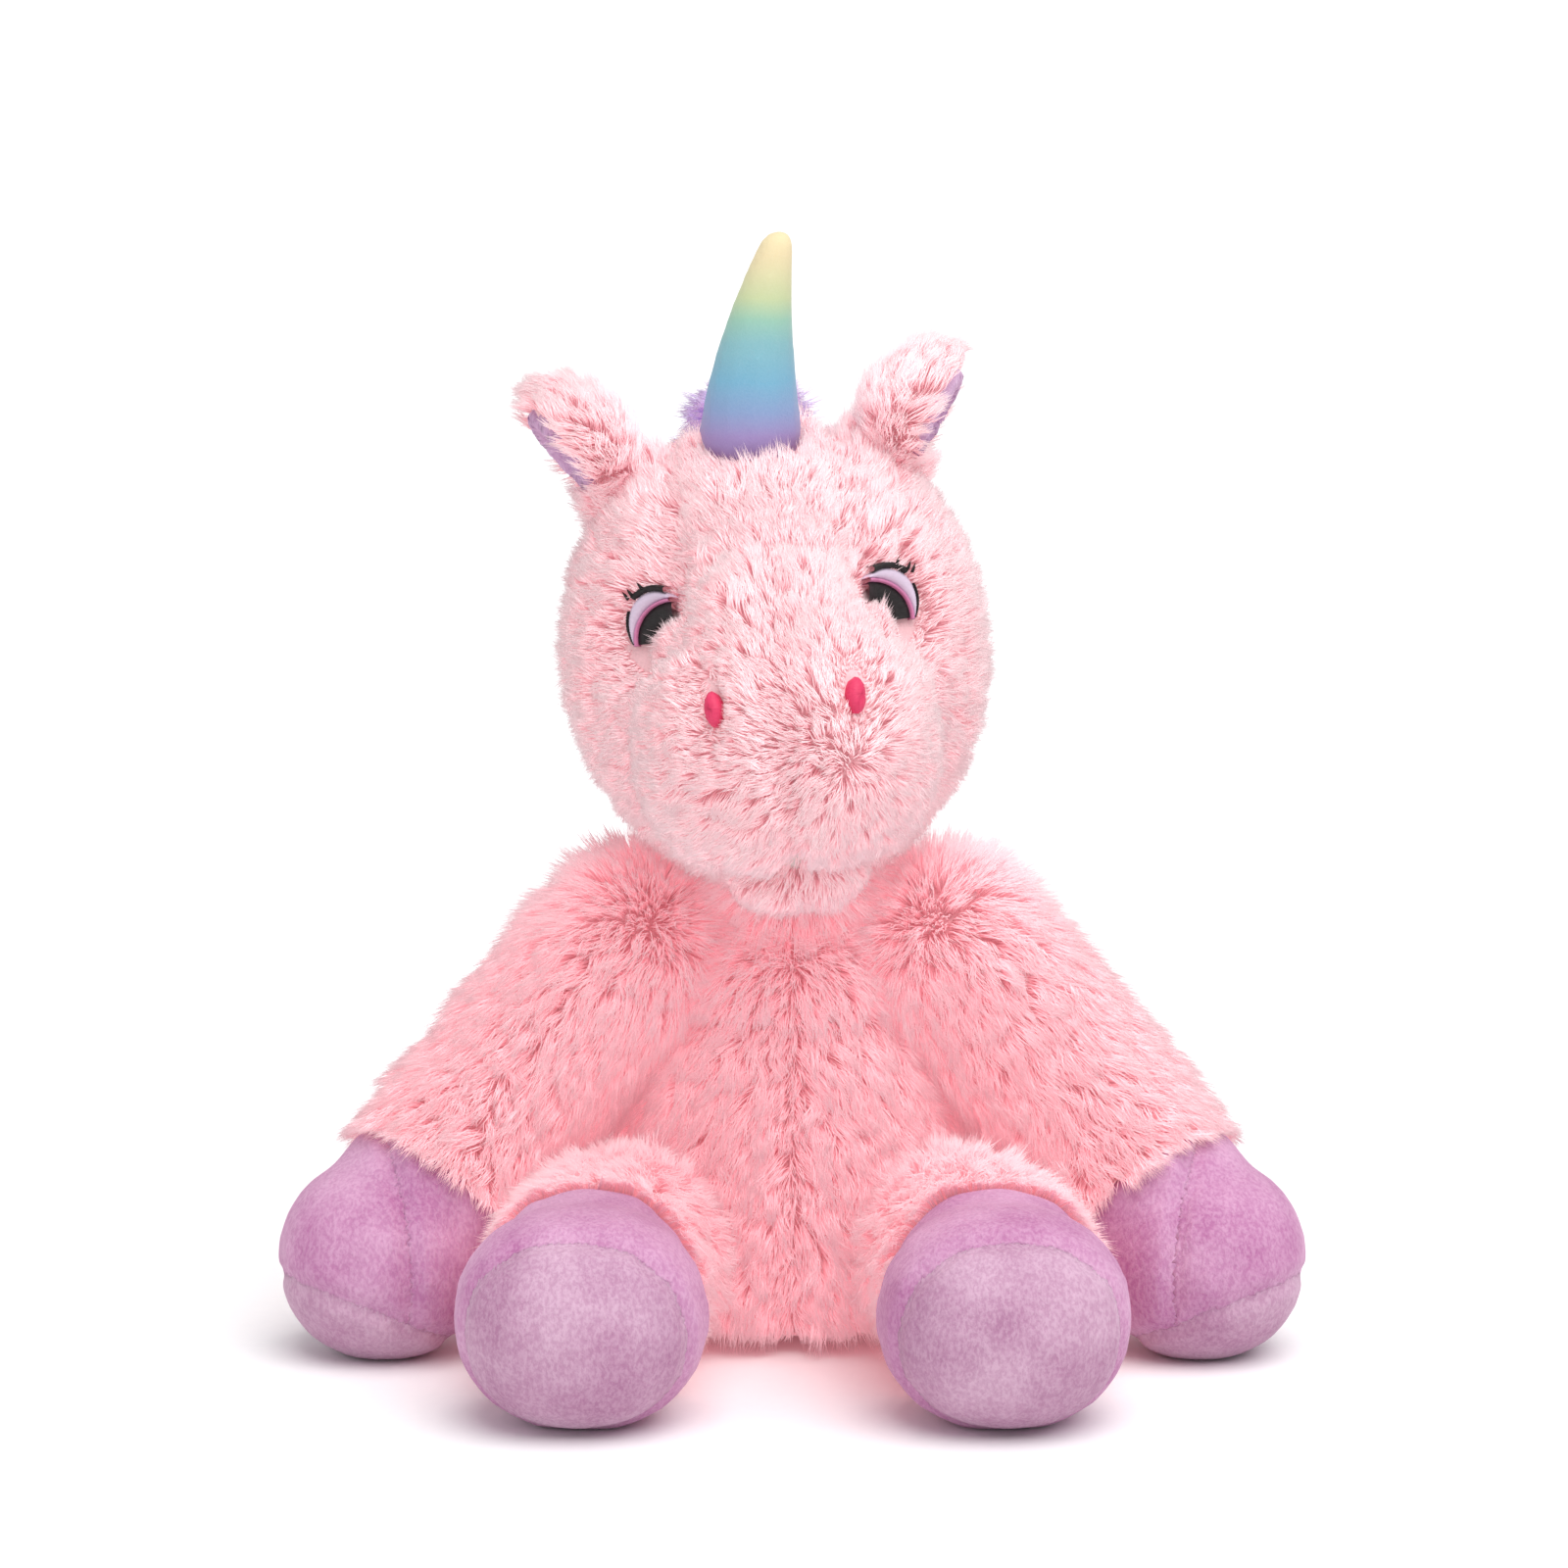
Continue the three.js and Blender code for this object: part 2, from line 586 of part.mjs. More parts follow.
// A velour cone whose stuffing ends in a round root, on which the horn flops.
function makeHorn() {
  const horn = new THREE.Group();
  horn.position.set(...onSkull(HORN));
  horn.rotation.set(THREE.MathUtils.degToRad(HORN.lean), THREE.MathUtils.degToRad(HORN.upright), 0);
  const cover = hornCone(0).subtract(hornCone(PLUSH_WALL)).intersect(beyond([0, 0, 0], [0, 0, 1]));
  const root = ball(HORN.baseRadius).intersect(beyond([0, 0, -SEAM_GAP], [0, 0, -1]));
  const neckStart = [0, 0, -3 * FILL_GAP];
  const neck = ball(HORN.baseRadius - PLUSH_WALL - FILL_GAP).intersect(beyond(neckStart, [0, 0, 1]));
  horn.add(
    node('horn_cover', cover, COLOURS.horn, 0.85),
    node('horn_stuffing', hornCone(PLUSH_WALL + FILL_GAP).add(neck).add(root), COLOURS.stuffing),
  );
  head.add(horn);
}

// A cupped ear on a round root: fur outside, velour lining in the cup.
function makeEar(side, word) {
  const ear = new THREE.Group();
  ear.position.set(...earBase(side));
  ear.rotation.copy(earTurn(side));
  const cupWall = FUR_WALL / 2;
  const leaf = { radii: EAR.radii, centre: [0, 0, EAR.reach] };
  const cup = { radii: EAR.radii, centre: [0, -EAR.cupDepth, EAR.reach + cupWall] };
  const outer = earForm().subtract(egg(cup, cupWall, DETAIL.coarse));
  const lining = egg(cup, cupWall + SEAM_GAP, DETAIL.coarse)
    .subtract(egg(cup, cupWall + SEAM_GAP + PLUSH_WALL, DETAIL.coarse))
    .intersect(egg(leaf, cupWall / 2, DETAIL.coarse));
  ear.add(
    node(`ear_${word}_outer`, outer, COLOURS.headFur),
    node(`ear_${word}_lining`, lining, COLOURS.lining, 0.85),
  );
  head.add(ear);
}

function makeNeck() {
  group.add(node('neck_fill', ball(NECK.radius, NECK.pivot), COLOURS.stuffing));
}

makeHead();
makeFace();
makeMane();
makeHorn();
makeEar(1, 'left');
makeEar(-1, 'right');
makeNeck();

export default group;
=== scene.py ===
"""Plush unicorn: fur, velour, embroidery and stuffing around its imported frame. Metres, +Z up, facing -Y."""
import json
import math

import bpy
import numpy as np
from bpy.props import FloatProperty, FloatVectorProperty, PointerProperty
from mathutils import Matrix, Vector
from mathutils.bvhtree import BVHTree
from mathutils.kdtree import KDTree


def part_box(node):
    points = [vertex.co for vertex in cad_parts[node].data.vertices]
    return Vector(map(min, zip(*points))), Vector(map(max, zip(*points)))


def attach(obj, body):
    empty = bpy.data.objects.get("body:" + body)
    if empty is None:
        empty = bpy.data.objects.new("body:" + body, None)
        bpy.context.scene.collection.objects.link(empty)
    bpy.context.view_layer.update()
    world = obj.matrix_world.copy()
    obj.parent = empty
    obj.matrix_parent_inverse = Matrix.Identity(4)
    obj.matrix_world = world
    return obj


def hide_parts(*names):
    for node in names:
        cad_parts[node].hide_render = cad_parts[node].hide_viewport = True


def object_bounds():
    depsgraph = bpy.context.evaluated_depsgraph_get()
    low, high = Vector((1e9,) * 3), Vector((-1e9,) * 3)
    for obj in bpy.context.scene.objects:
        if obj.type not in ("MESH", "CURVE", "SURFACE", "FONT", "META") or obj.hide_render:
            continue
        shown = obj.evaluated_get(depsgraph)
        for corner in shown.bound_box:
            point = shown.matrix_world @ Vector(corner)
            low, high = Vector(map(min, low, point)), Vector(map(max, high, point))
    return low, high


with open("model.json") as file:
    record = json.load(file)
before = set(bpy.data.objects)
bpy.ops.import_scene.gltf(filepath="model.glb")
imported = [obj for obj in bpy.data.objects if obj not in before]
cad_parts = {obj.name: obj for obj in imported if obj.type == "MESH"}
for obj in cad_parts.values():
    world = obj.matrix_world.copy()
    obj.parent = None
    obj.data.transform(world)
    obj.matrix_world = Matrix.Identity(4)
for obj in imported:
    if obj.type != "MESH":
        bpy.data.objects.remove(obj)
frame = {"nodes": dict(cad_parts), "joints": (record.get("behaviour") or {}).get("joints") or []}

bl_info = {
    "name": "Plush Unicorn",
    "version": (1, 0, 0),
    "blender": (4, 5, 0),
    "location": "3D View > Sidebar > Plush",
    "description": "Builds the fur, velour, embroidery and stuffing of a seated plush unicorn",
    "category": "Object",
}

CAD_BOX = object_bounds()
NODES = frame["nodes"]
JOINTS = {joint["name"]: joint for joint in frame["joints"]}
MM = 0.001
SIDES = (("left", 1), ("right", -1))

TORSO_PANELS = ("chest_yoke", "belly_left", "belly_right", "back_left", "back_right", "seat_panel")
FACE_PANELS = ("muzzle_left", "muzzle_right", "chin_panel")
SKULL_PANELS = ("forehead_gusset", "cheek_left", "cheek_right", "head_back_left", "head_back_right")
HEAD_PANELS = FACE_PANELS + SKULL_PANELS

MAX_STRANDS = 19000  # in one piece
RINGS = (0.0, 0.45)  # where a strand has a ring of three corners, as shares of its length
LEAN = (28.0, 64.0)  # degrees from upright of a strand's two stretches
CORNERS = 3
BACKING = 1.0 * MM  # thickness of the cloth that the pile grows from
PULL_WIDTH = 3.5 * MM  # how wide a seam's pull is in fur
SEAM_TRIM = (3 * MM, 0.62)  # nearer a seam than this pile is shorter, down to this share
LEAST_PILE = 0.08  # a strand with less than this share of its length left is cut away
ROOT_INSET = 6.5 * MM  # from a leg's root to the filling inside it
ON_FLOOR = 0.2 * MM  # the lowest that pile or velour lies
TUFT_AREA_SHARE = 0.11  # tufts on a square millimetre
PILE_PAINTED_GLOW = 0.26  # strength of the pile's painted glow: emission that stands in for light scattered inside the pile and lifts its shade

# ---------------------------------------------------------------- settings


class PlushFur(bpy.types.PropertyGroup):
    body_length: FloatProperty(
        name="Body pile",
        description="Length of the pile on the body and legs",
        default=13 * MM,
        unit="LENGTH",
    )
    head_length: FloatProperty(
        name="Head pile",
        description="Length of the pile on the head",
        default=9.5 * MM,
        unit="LENGTH",
    )
    ear_length: FloatProperty(
        name="Ear pile",
        description="Length of the pile on the ears",
        default=9.5 * MM,
        unit="LENGTH",
    )
    mane_length: FloatProperty(
        name="Mane pile",
        description="Length of the mane's and the tail's pile",
        default=17 * MM,
        unit="LENGTH",
    )
    thickness: FloatProperty(
        name="Strand",
        description="Radius of a strand of pile at its root",
        default=0.2 * MM,
        unit="LENGTH",
    )
    density: FloatProperty(
        name="Density",
        description="Strands of pile on a square millimetre",
        default=2.4,
        min=0.1,
        max=4.0,
    )
    # The root colours are painted shade deep in the pile and the tip colours painted light on the tips; each
    # pile grades from one to the other along its strands.
    body_root: FloatVectorProperty(
        name="Body root",
        description="Colour deep in the body's pile",
        subtype="COLOR",
        default=(1.0, 0.52, 0.57),
    )
    body_tip: FloatVectorProperty(
        name="Body tips",
        description="Colour of the body's pile tips",
        subtype="COLOR",
        default=(1.0, 0.76, 0.80),
    )
    head_root: FloatVectorProperty(
        name="Head root",
        description="Colour deep in the head's pile",
        subtype="COLOR",
        default=(1.0, 0.60, 0.64),
    )
    head_tip: FloatVectorProperty(
        name="Head tips",
        description="Colour of the head's pile tips",
        subtype="COLOR",
        default=(1.0, 0.88, 0.90),
    )
    mane_root: FloatVectorProperty(
        name="Mane root",
        description="Colour deep in the mane",
        subtype="COLOR",
        default=(0.50, 0.30, 0.76),
    )
    mane_tip: FloatVectorProperty(
        name="Mane tips",
        description="Colour of the mane's tips",
        subtype="COLOR",
        default=(0.78, 0.64, 0.95),
    )


class PlushVelour(bpy.types.PropertyGroup):
    hoof: FloatVectorProperty(
        name="Hooves",
        description="Colour of the hoof velour",
        subtype="COLOR",
        default=(0.52, 0.16, 0.39),
    )
    sole: FloatVectorProperty(
        name="Soles",
        description="Colour of the sole velour",
        subtype="COLOR",
        default=(0.48, 0.20, 0.37),
    )
    lining: FloatVectorProperty(
        name="Ear linings",
        description="Colour of the ear linings",
        subtype="COLOR",
        default=(0.56, 0.27, 0.52),
    )
    seam_depth: FloatProperty(
        name="Seam",
        description="How deep a sewn seam sits in the velour",
        default=1.1 * MM,
        unit="LENGTH",
    )
    seam_width: FloatProperty(
        name="Seam width",
        description="How wide the pull of a seam is",
        default=1.6 * MM,
        unit="LENGTH",
    )


# ---------------------------------------------------------------- shader maths


class Value:
    """A shader socket that Python's operators work on: each operator adds one Math node."""

    def __init__(self, shader, socket):
        self.shader = shader
        self.socket = socket

    def maths(self, operation, first, second):
        return self.shader.node("ShaderNodeMath", {"operation": operation}, {0: first, 1: second})

    def __add__(self, other):
        return self.maths("ADD", self, other)

    def __sub__(self, other):
        return self.maths("SUBTRACT", self, other)

    def __mul__(self, other):
        return self.maths("MULTIPLY", self, other)

    def __rsub__(self, other):
        return self.maths("SUBTRACT", other, self)

    __radd__ = __add__
    __rmul__ = __mul__


def socket_name(words):
    """The Principled shader's name for a socket given in small letters."""
    return words.replace("_", " ").title().replace("Ior", "IOR")


class Shader:
    """A node material round one Principled shader, whose constant sockets are set by name."""

    def __init__(self, name, **constants):
        self.material = bpy.data.materials.new(name)
        self.material.use_nodes = True
        self.tree = self.material.node_tree
        self.surface = self.tree.nodes["Principled BSDF"]
        for words, value in constants.items():
            self.surface.inputs[socket_name(words)].default_value = value

    def node(self, kind, settings=None, inputs=None, output=0):
        made = self.tree.nodes.new(kind)
        for key, value in (settings or {}).items():
            setattr(made, key, value)
        for key, value in (inputs or {}).items():
            self.plug(made.inputs[key], value)
        return Value(self, made.outputs[output])

    def plug(self, socket, value):
        if isinstance(value, Value):
            self.tree.links.new(value.socket, socket)
        elif socket.type == "RGBA" and len(value) == 3:
            socket.default_value = (*value, 1.0)
        else:
            socket.default_value = value

    def ramp(self, factor, stops):
        made = self.tree.nodes.new("ShaderNodeValToRGB")
        elements = made.color_ramp.elements
        while len(elements) < len(stops):
            elements.new(1.0)
        for element, (place, colour) in zip(elements, stops):
            element.position = place
            element.color = (*colour, 1.0)
        self.plug(made.inputs["Fac"], factor)
        return Value(self, made.outputs["Color"])

    def mix(self, factor, first, second):
        return self.node("ShaderNodeMix", {"data_type": "RGBA"}, {0: factor, 6: first, 7: second}, output=2)

    def place(self, kind="Object"):
        return self.node("ShaderNodeTexCoord", output=kind)

    def noise(self, scale, detail=2.0, roughness=0.5, stretch=(1, 1, 1)):
        place = self.node("ShaderNodeMapping", {}, {"Vector": self.place(), "Scale": stretch})
        sockets = {"Vector": place, "Scale": scale, "Detail": detail, "Roughness": roughness}
        return self.node("ShaderNodeTexNoise", {}, sockets)

    def wear(self, **sockets):
        for words, value in sockets.items():
            self.plug(self.surface.inputs[socket_name(words)], value)
        return self.material

    def bump(self, height, strength, distance):
        sockets = {"Height": height, "Strength": strength, "Distance": distance}
        self.plug(self.surface.inputs["Normal"], self.node("ShaderNodeBump", {}, sockets))


def lighter(colour, share):
    return tuple(c + (1 - c) * share for c in colour)


def mixed(first, second, share):
    return tuple(a + (b - a) * share for a, b in zip(first, second))


def darker(colour, share):
    return tuple(c * (1 - share) for c in colour)


def pile_material(name, root, tip, glow):
    """Pile deeper in colour at the roots as painted shade deep in the pile, and pale at the tips as painted
    light on them, with a painted glow (emission) standing in for light scattered in it.
    """
    shader = Shader(
        name,
        roughness=0.7,
        sheen_weight=0.25,
        sheen_roughness=0.5,
        specular_ior_level=0.15,
        # painted glow: emission that lifts the pile's shade
        emission_strength=PILE_PAINTED_GLOW,
        emission_color=(*glow, 1.0),
    )
    across = shader.node("ShaderNodeUVMap", {"uv_map": "OFBake"})
    tone = shader.node("ShaderNodeSeparateXYZ", {}, {0: across}, output=0)
    along = shader.node("ShaderNodeSeparateXYZ", {}, {0: across}, output=1)
    # painted shade and light: deeper towards the roots, where shade falls deep in the pile, paler towards the
    # tips, where the light falls
    dyed = shader.ramp(along, ((0.0, root), (0.6, mixed(root, tip, 0.7)), (1.0, tip)))
    pale = shader.mix(tone * 0.3, dyed, lighter(tip, 0.6))
    return shader.wear(base_color=shader.mix(0.1 - tone * 0.1, pale, root))


def backing_material(name, colour):
    """The knitted cloth that the pile grows from."""
    shader = Shader(name, roughness=0.9, sheen_weight=0.2)
    loops = shader.noise(1500, detail=1.0)
    cloud = shader.noise(60)
    shader.bump(loops, 0.5, 0.3 * MM)
    cloth = shader.mix(loops, darker(colour, 0.25), colour)
    return shader.wear(base_color=shader.mix(cloud * 0.4, cloth, lighter(colour, 0.25)))


def velour_material(name, colour):
    """Short brushed pile that lies in patchy areas; its colour is painted sheen, paler where the nap lies
    away and catches the light and deeper where it does not, with paler streaks, over a fine speckle of nap.
    """
    shader = Shader(
        name,
        roughness=0.8,
        sheen_weight=0.4,
        sheen_roughness=0.4,
        sheen_tint=(*lighter(colour, 0.5), 1.0),
        specular_ior_level=0.15,
    )
    brushed = shader.noise(38, detail=3.0, roughness=0.55)
    streaks = shader.noise(260, detail=3.0, roughness=0.6, stretch=(1, 1, 0.35))
    nap = shader.noise(1000, detail=3.0, roughness=0.7, stretch=(1, 1, 0.6))
    # painted sheen: the noise paints deeper and paler patchy areas, and the streaks paint paler combed sheen;
    # the streaks also feed the bump
    painted_sheen_patches = shader.ramp(brushed, ((0.38, darker(colour, 0.22)), (0.62, lighter(colour, 0.20))))
    combed = shader.mix(streaks * 0.4, painted_sheen_patches, lighter(colour, 0.28))
    speckle = shader.ramp(nap, ((0.40, darker(colour, 0.30)), (0.60, lighter(colour, 0.30))))
    shader.bump(nap + streaks * 0.5, 0.7, 0.6 * MM)
    return shader.wear(base_color=shader.mix(0.32, combed, speckle))


def horn_material(name):
    """Velour dyed in soft bands from purple at the base, through blue and green, to cream at the tip."""
    shader = Shader(name, roughness=0.8, sheen_weight=0.2, sheen_roughness=0.4, specular_ior_level=0.15)
    height = shader.node("ShaderNodeSeparateXYZ", {}, {0: shader.place("Generated")}, output=2)
    blot = shader.noise(70, detail=2.0)
    fuzz = shader.noise(1900, detail=2.0, roughness=0.7)
    dyed = shader.ramp(
        height + blot * 0.05 - 0.025,
        (
            (0.11, (0.29, 0.21, 0.47)),
            (0.22, (0.20, 0.30, 0.53)),
            (0.35, (0.14, 0.38, 0.54)),
            (0.52, (0.19, 0.43, 0.47)),
            (0.62, (0.26, 0.50, 0.38)),
            (0.72, (0.50, 0.58, 0.31)),
            (0.90, (0.74, 0.62, 0.36)),
        ),
    )
    shader.bump(fuzz, 0.4, 0.3 * MM)
    return shader.wear(base_color=shader.mix(fuzz * 0.12, dyed, (0.85, 0.88, 0.92)))


def thread_material(name, colour):
    """Satin-stitch thread."""
    shader = Shader(name, roughness=0.5, specular_ior_level=0.2)
    twist = shader.noise(900, detail=2.0, stretch=(1, 1, 3))
    return shader.wear(base_color=shader.mix(twist * 0.5, darker(colour, 0.3), lighter(colour, 0.06)))


def fibre_material(name, colour):
    """Loose polyester fibre, or a plain bag's cloth."""
    shader = Shader(name, roughness=0.95, sheen_weight=0.3)
    wisps = shader.noise(300, detail=6.0, roughness=0.7)
    shader.bump(wisps, 0.8, 1.0 * MM)
    return shader.wear(base_color=shader.mix(wisps, darker(colour, 0.25), colour))


MATERIALS = {}


def material(name, make, *words):
    if name not in MATERIALS:
        MATERIALS[name] = make(name, *words)
    return MATERIALS[name]


# ---------------------------------------------------------------- meshes


def middle(node):
    low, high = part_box(node)
    return (Vector(low) + Vector(high)) / 2


def unit(vectors):
    return vectors / np.maximum(np.linalg.norm(vectors, axis=-1, keepdims=True), 1e-12)


def corners_and_faces(mesh):
    """The points of a mesh, and its faces as triangles."""
    points = np.empty(len(mesh.vertices) * 3)
    mesh.vertices.foreach_get("co", points)
    mesh.calc_loop_triangles()
    faces = np.empty(len(mesh.loop_triangles) * 3, np.int32)
    mesh.loop_triangles.foreach_get("vertices", faces)
    return points.reshape(-1, 3), faces.reshape(-1, 3)


def joined_mesh(names, name):
    """One mesh of several CAD nodes, as loose solids."""
    points, faces, count = [], [], 0
    for node in names:
        some, those = corners_and_faces(NODES[node].data)
        points.append(some)
        faces.append(those + count)
        count += len(some)
    mesh = bpy.data.meshes.new(name)
    mesh.from_pydata(np.concatenate(points).tolist(), [], np.concatenate(faces).tolist())
    return mesh


def new_object(name, mesh):
    thing = bpy.data.objects.new(name, mesh)
    bpy.context.scene.collection.objects.link(thing)
    return thing


def with_modifiers(mesh, name, *modifiers):
    """The mesh after a stack of (type, settings) modifiers."""
    thing = new_object(name, mesh)
    for kind, settings in modifiers:
        modifier = thing.modifiers.new(kind, kind)
        for key, value in settings.items():
            setattr(modifier, key, value)
    graph = bpy.context.evaluated_depsgraph_get()
    made = bpy.data.meshes.new_from_object(thing.evaluated_get(graph))
    bpy.data.objects.remove(thing)
    return made


def soft_form(names, voxel, rounds, inset=0.0):
    """One smooth skin round several CAD nodes, set in from them by the inset."""
    mesh = with_modifiers(
        joined_mesh(names, "form"),
        "form",
        ("REMESH", {"mode": "VOXEL", "voxel_size": voxel}),
        ("SMOOTH", {"factor": 0.5, "iterations": rounds}),
    )
    points, faces = corners_and_faces(mesh)
    keep = largest_shell(len(points), faces)
    points = points - vertex_normals(points, faces) * inset
    return points, faces[keep[faces[:, 0]]]


def largest_shell(count, faces):
    """Which points belong to the shell that holds the most of them."""
    shell = np.arange(count)
    edges = np.concatenate([faces[:, :2], faces[:, 1:]])
    while True:
        low = np.minimum(shell[edges[:, 0]], shell[edges[:, 1]])
        before = shell.copy()
        np.minimum.at(shell, edges[:, 0], low)
        np.minimum.at(shell, edges[:, 1], low)
        shell = shell[shell]
        if (shell == before).all():
            break
    used = shell[faces[:, 0]]
    values, counts = np.unique(used, return_counts=True)
    return shell == values[counts.argmax()]


def face_normals(points, faces):
    a, b, c = (points[faces[:, k]] for k in range(3))
    return np.cross(b - a, c - a)


def vertex_normals(points, faces):
    normals = np.zeros_like(points)
    across = face_normals(points, faces)
    for k in range(3):
        np.add.at(normals, faces[:, k], across)
    return unit(normals)


def tree_of(node):
    points, faces = corners_and_faces(NODES[node].data)
    return BVHTree.FromPolygons(points.tolist(), faces.tolist())


def panels_of(points, faces, names):
    """For each face its nearest panel, and for each point how far it is from the seam between two panels."""
    distances = np.empty((len(names), len(points)))
    for row, name in enumerate(names):
        tree = tree_of(name)
        distances[row] = [tree.find_nearest(point)[3] for point in points.tolist()]
    nearest = distances.argmin(0)
    two = np.sort(distances, axis=0)
    to_seam = two[1] - two[0] if len(names) > 1 else np.full(len(points), 1.0)
    middle_face = distances[:, faces].mean(-1).argmin(0)
    return middle_face, nearest, to_seam


def cut_out(points, faces):
    """The points that the faces use, and the faces renumbered."""
    used, places = np.unique(faces, return_inverse=True)
    return points[used], places.reshape(faces.shape)


def mesh_piece(name, points, faces, cover, smooth=True, thickness=0.0, rounds=0):
    mesh = bpy.data.meshes.new(name)
    mesh.from_pydata(points.tolist(), [], faces.tolist())
    stack = []
    if thickness:
        stack.append(("SOLIDIFY", {"thickness": thickness, "offset": -1.0}))
    if rounds:
        stack.append(("SUBSURF", {"levels": rounds, "render_levels": rounds}))
    if stack:
        mesh = with_modifiers(mesh, name, *stack)
        mesh.name = name
    mesh.polygons.foreach_set("use_smooth", [smooth] * len(mesh.polygons))
    mesh.materials.append(cover)
    return new_object(name, mesh)


def finish_piece(piece, body, nodes=()):
    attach(piece, body)
    if nodes:
        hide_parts(*nodes)
    return piece


# ---------------------------------------------------------------- pile


class Coat:
    """How the pile lies on one part: its length, how thick it stands, and which way it is combed.

    flow, trim and stand each take the roots: the way the pile is combed, the share of its length that is
    left, and how upright it stands from 0 to 1.
    """

    def __init__(self, length, density, flow, clump=0.4, stray=0.3, trim=None, stand=None, thickness=1.0):
        self.length = length
        self.density = density
        self.flow = flow
        self.clump = clump
        self.stray = stray
        self.trim = trim
        self.stand = stand
        self.thickness = thickness

    def lean(self, roots):
        upright = self.stand(roots) if self.stand else np.zeros(len(roots))
        return np.radians(LEAN)[None, :] * (1 - upright)[:, None]


def strand_roots(points, faces, normals, share, rng):
    """Random places on the faces, with the normal at each."""
    area = np.linalg.norm(face_normals(points, faces), axis=1) / 2
    count = int(area.sum() / MM**2 * share)
    chosen = rng.choice(len(faces), count, p=area / area.sum())
    a, b = np.sqrt(rng.random(count)), rng.random(count)
    weights = np.stack([1 - a, a * (1 - b), a * b], -1)[:, :, None]
    corners = faces[chosen]
    return (points[corners] * weights).sum(1), unit((normals[corners] * weights).sum(1)), corners, weights


def curve_of(roots, normals, along, length, lean):
    """The places of each strand's rings and tip."""
    stretch = np.diff((*RINGS, 1.0))
    start = np.zeros((len(roots), 1))
    rise = np.concatenate([start, np.cumsum(np.cos(lean) * stretch, axis=1)], axis=1)
    reach = np.concatenate([start, np.cumsum(np.sin(lean) * stretch, axis=1)], axis=1)
    size = length[:, None, None]
    up = normals[:, None, :] * rise[:, :, None]
    out = along[:, None, :] * reach[:, :, None]
    return roots[:, None, :] + (up + out) * size


def combed(roots, normals, flow, angle):
    """The flow laid on the surface and turned by an angle."""
    flat = unit(flow - normals * (flow * normals).sum(-1, keepdims=True))
    across = np.cross(normals, flat)
    return flat * np.cos(angle)[:, None] + across * np.sin(angle)[:, None]


def nearest_clump(roots, centres):
    tree = KDTree(len(centres))
    for index, centre in enumerate(centres.tolist()):
        tree.insert(centre, index)
    tree.balance()
    return np.array([tree.find(root)[1] for root in roots.tolist()])


TUFT_SIZES = (0.78, 1.12)  # shortest and longest tuft
STRAND_SIZES = (0.86, 1.1)  # and strand in it
STRAND_STRAY = 0.2  # radians that a strand turns from its tuft
WANDER = 0.06  # share of its length that a strand wanders


def grow(name, points, faces, normals, to_seam, coat, cover, seed):
    """Pile as real strands: three-sided tapered spikes, gathered into tufts."""
    rng = np.random.default_rng(seed)
    share = coat.density * 1.0
    roots, ups, corners, weights = strand_roots(points, faces, normals, share, rng)
    seam = (to_seam[corners][:, :, None] * weights).sum(1)[:, 0]
    short = SEAM_TRIM[1] + (1 - SEAM_TRIM[1]) * np.clip(seam / SEAM_TRIM[0], 0, 1)
    if coat.trim:
        short = short * coat.trim(roots)
        keep = short > LEAST_PILE
        roots, ups, short = roots[keep], ups[keep], short[keep]
    count = len(roots)

    centres = rng.choice(count, max(int(count * TUFT_AREA_SHARE / share), 1), replace=False)
    tuft = nearest_clump(roots, roots[centres])
    bend = rng.normal(0, coat.stray, len(centres))
    size = rng.uniform(*TUFT_SIZES, len(centres))
    flow = coat.flow(roots)
    length = coat.length * short * size[tuft] * rng.uniform(*STRAND_SIZES, count)
    along = combed(roots, ups, flow, bend[tuft] + rng.normal(0, STRAND_STRAY, count))
    lean = coat.lean(roots)
    lines = curve_of(roots, ups, along, length, lean)

    heart = centres[tuft]
    guide = combed(roots[heart], ups[heart], flow[heart], bend[tuft])
    reach = coat.length * short[heart] * size[tuft]
    leads = curve_of(roots[heart], ups[heart], guide, reach, lean[heart])
    shares = np.array((*RINGS, 1.0))
    pull = coat.clump * shares[None, :, None] ** 0.8
    lines = lines + (leads - lines) * pull
    wander = rng.normal(0, WANDER, (count, len(shares), 3)) * shares[None, :, None]
    lines = lines + wander * length[:, None, None]
    lines[:, :, 2] = np.maximum(lines[:, :, 2], ON_FLOOR)
    tones = np.clip(rng.random(len(centres))[tuft] * 0.6 + rng.random(count) * 0.4, 0, 1)
    radius = fur_settings().thickness * coat.thickness
    parts = math.ceil(count / MAX_STRANDS)
    return [
        strand_piece(f"{name}_{k + 1}", lines[k::parts], ups[k::parts], radius, tones[k::parts], cover)
        for k in range(parts)
    ]


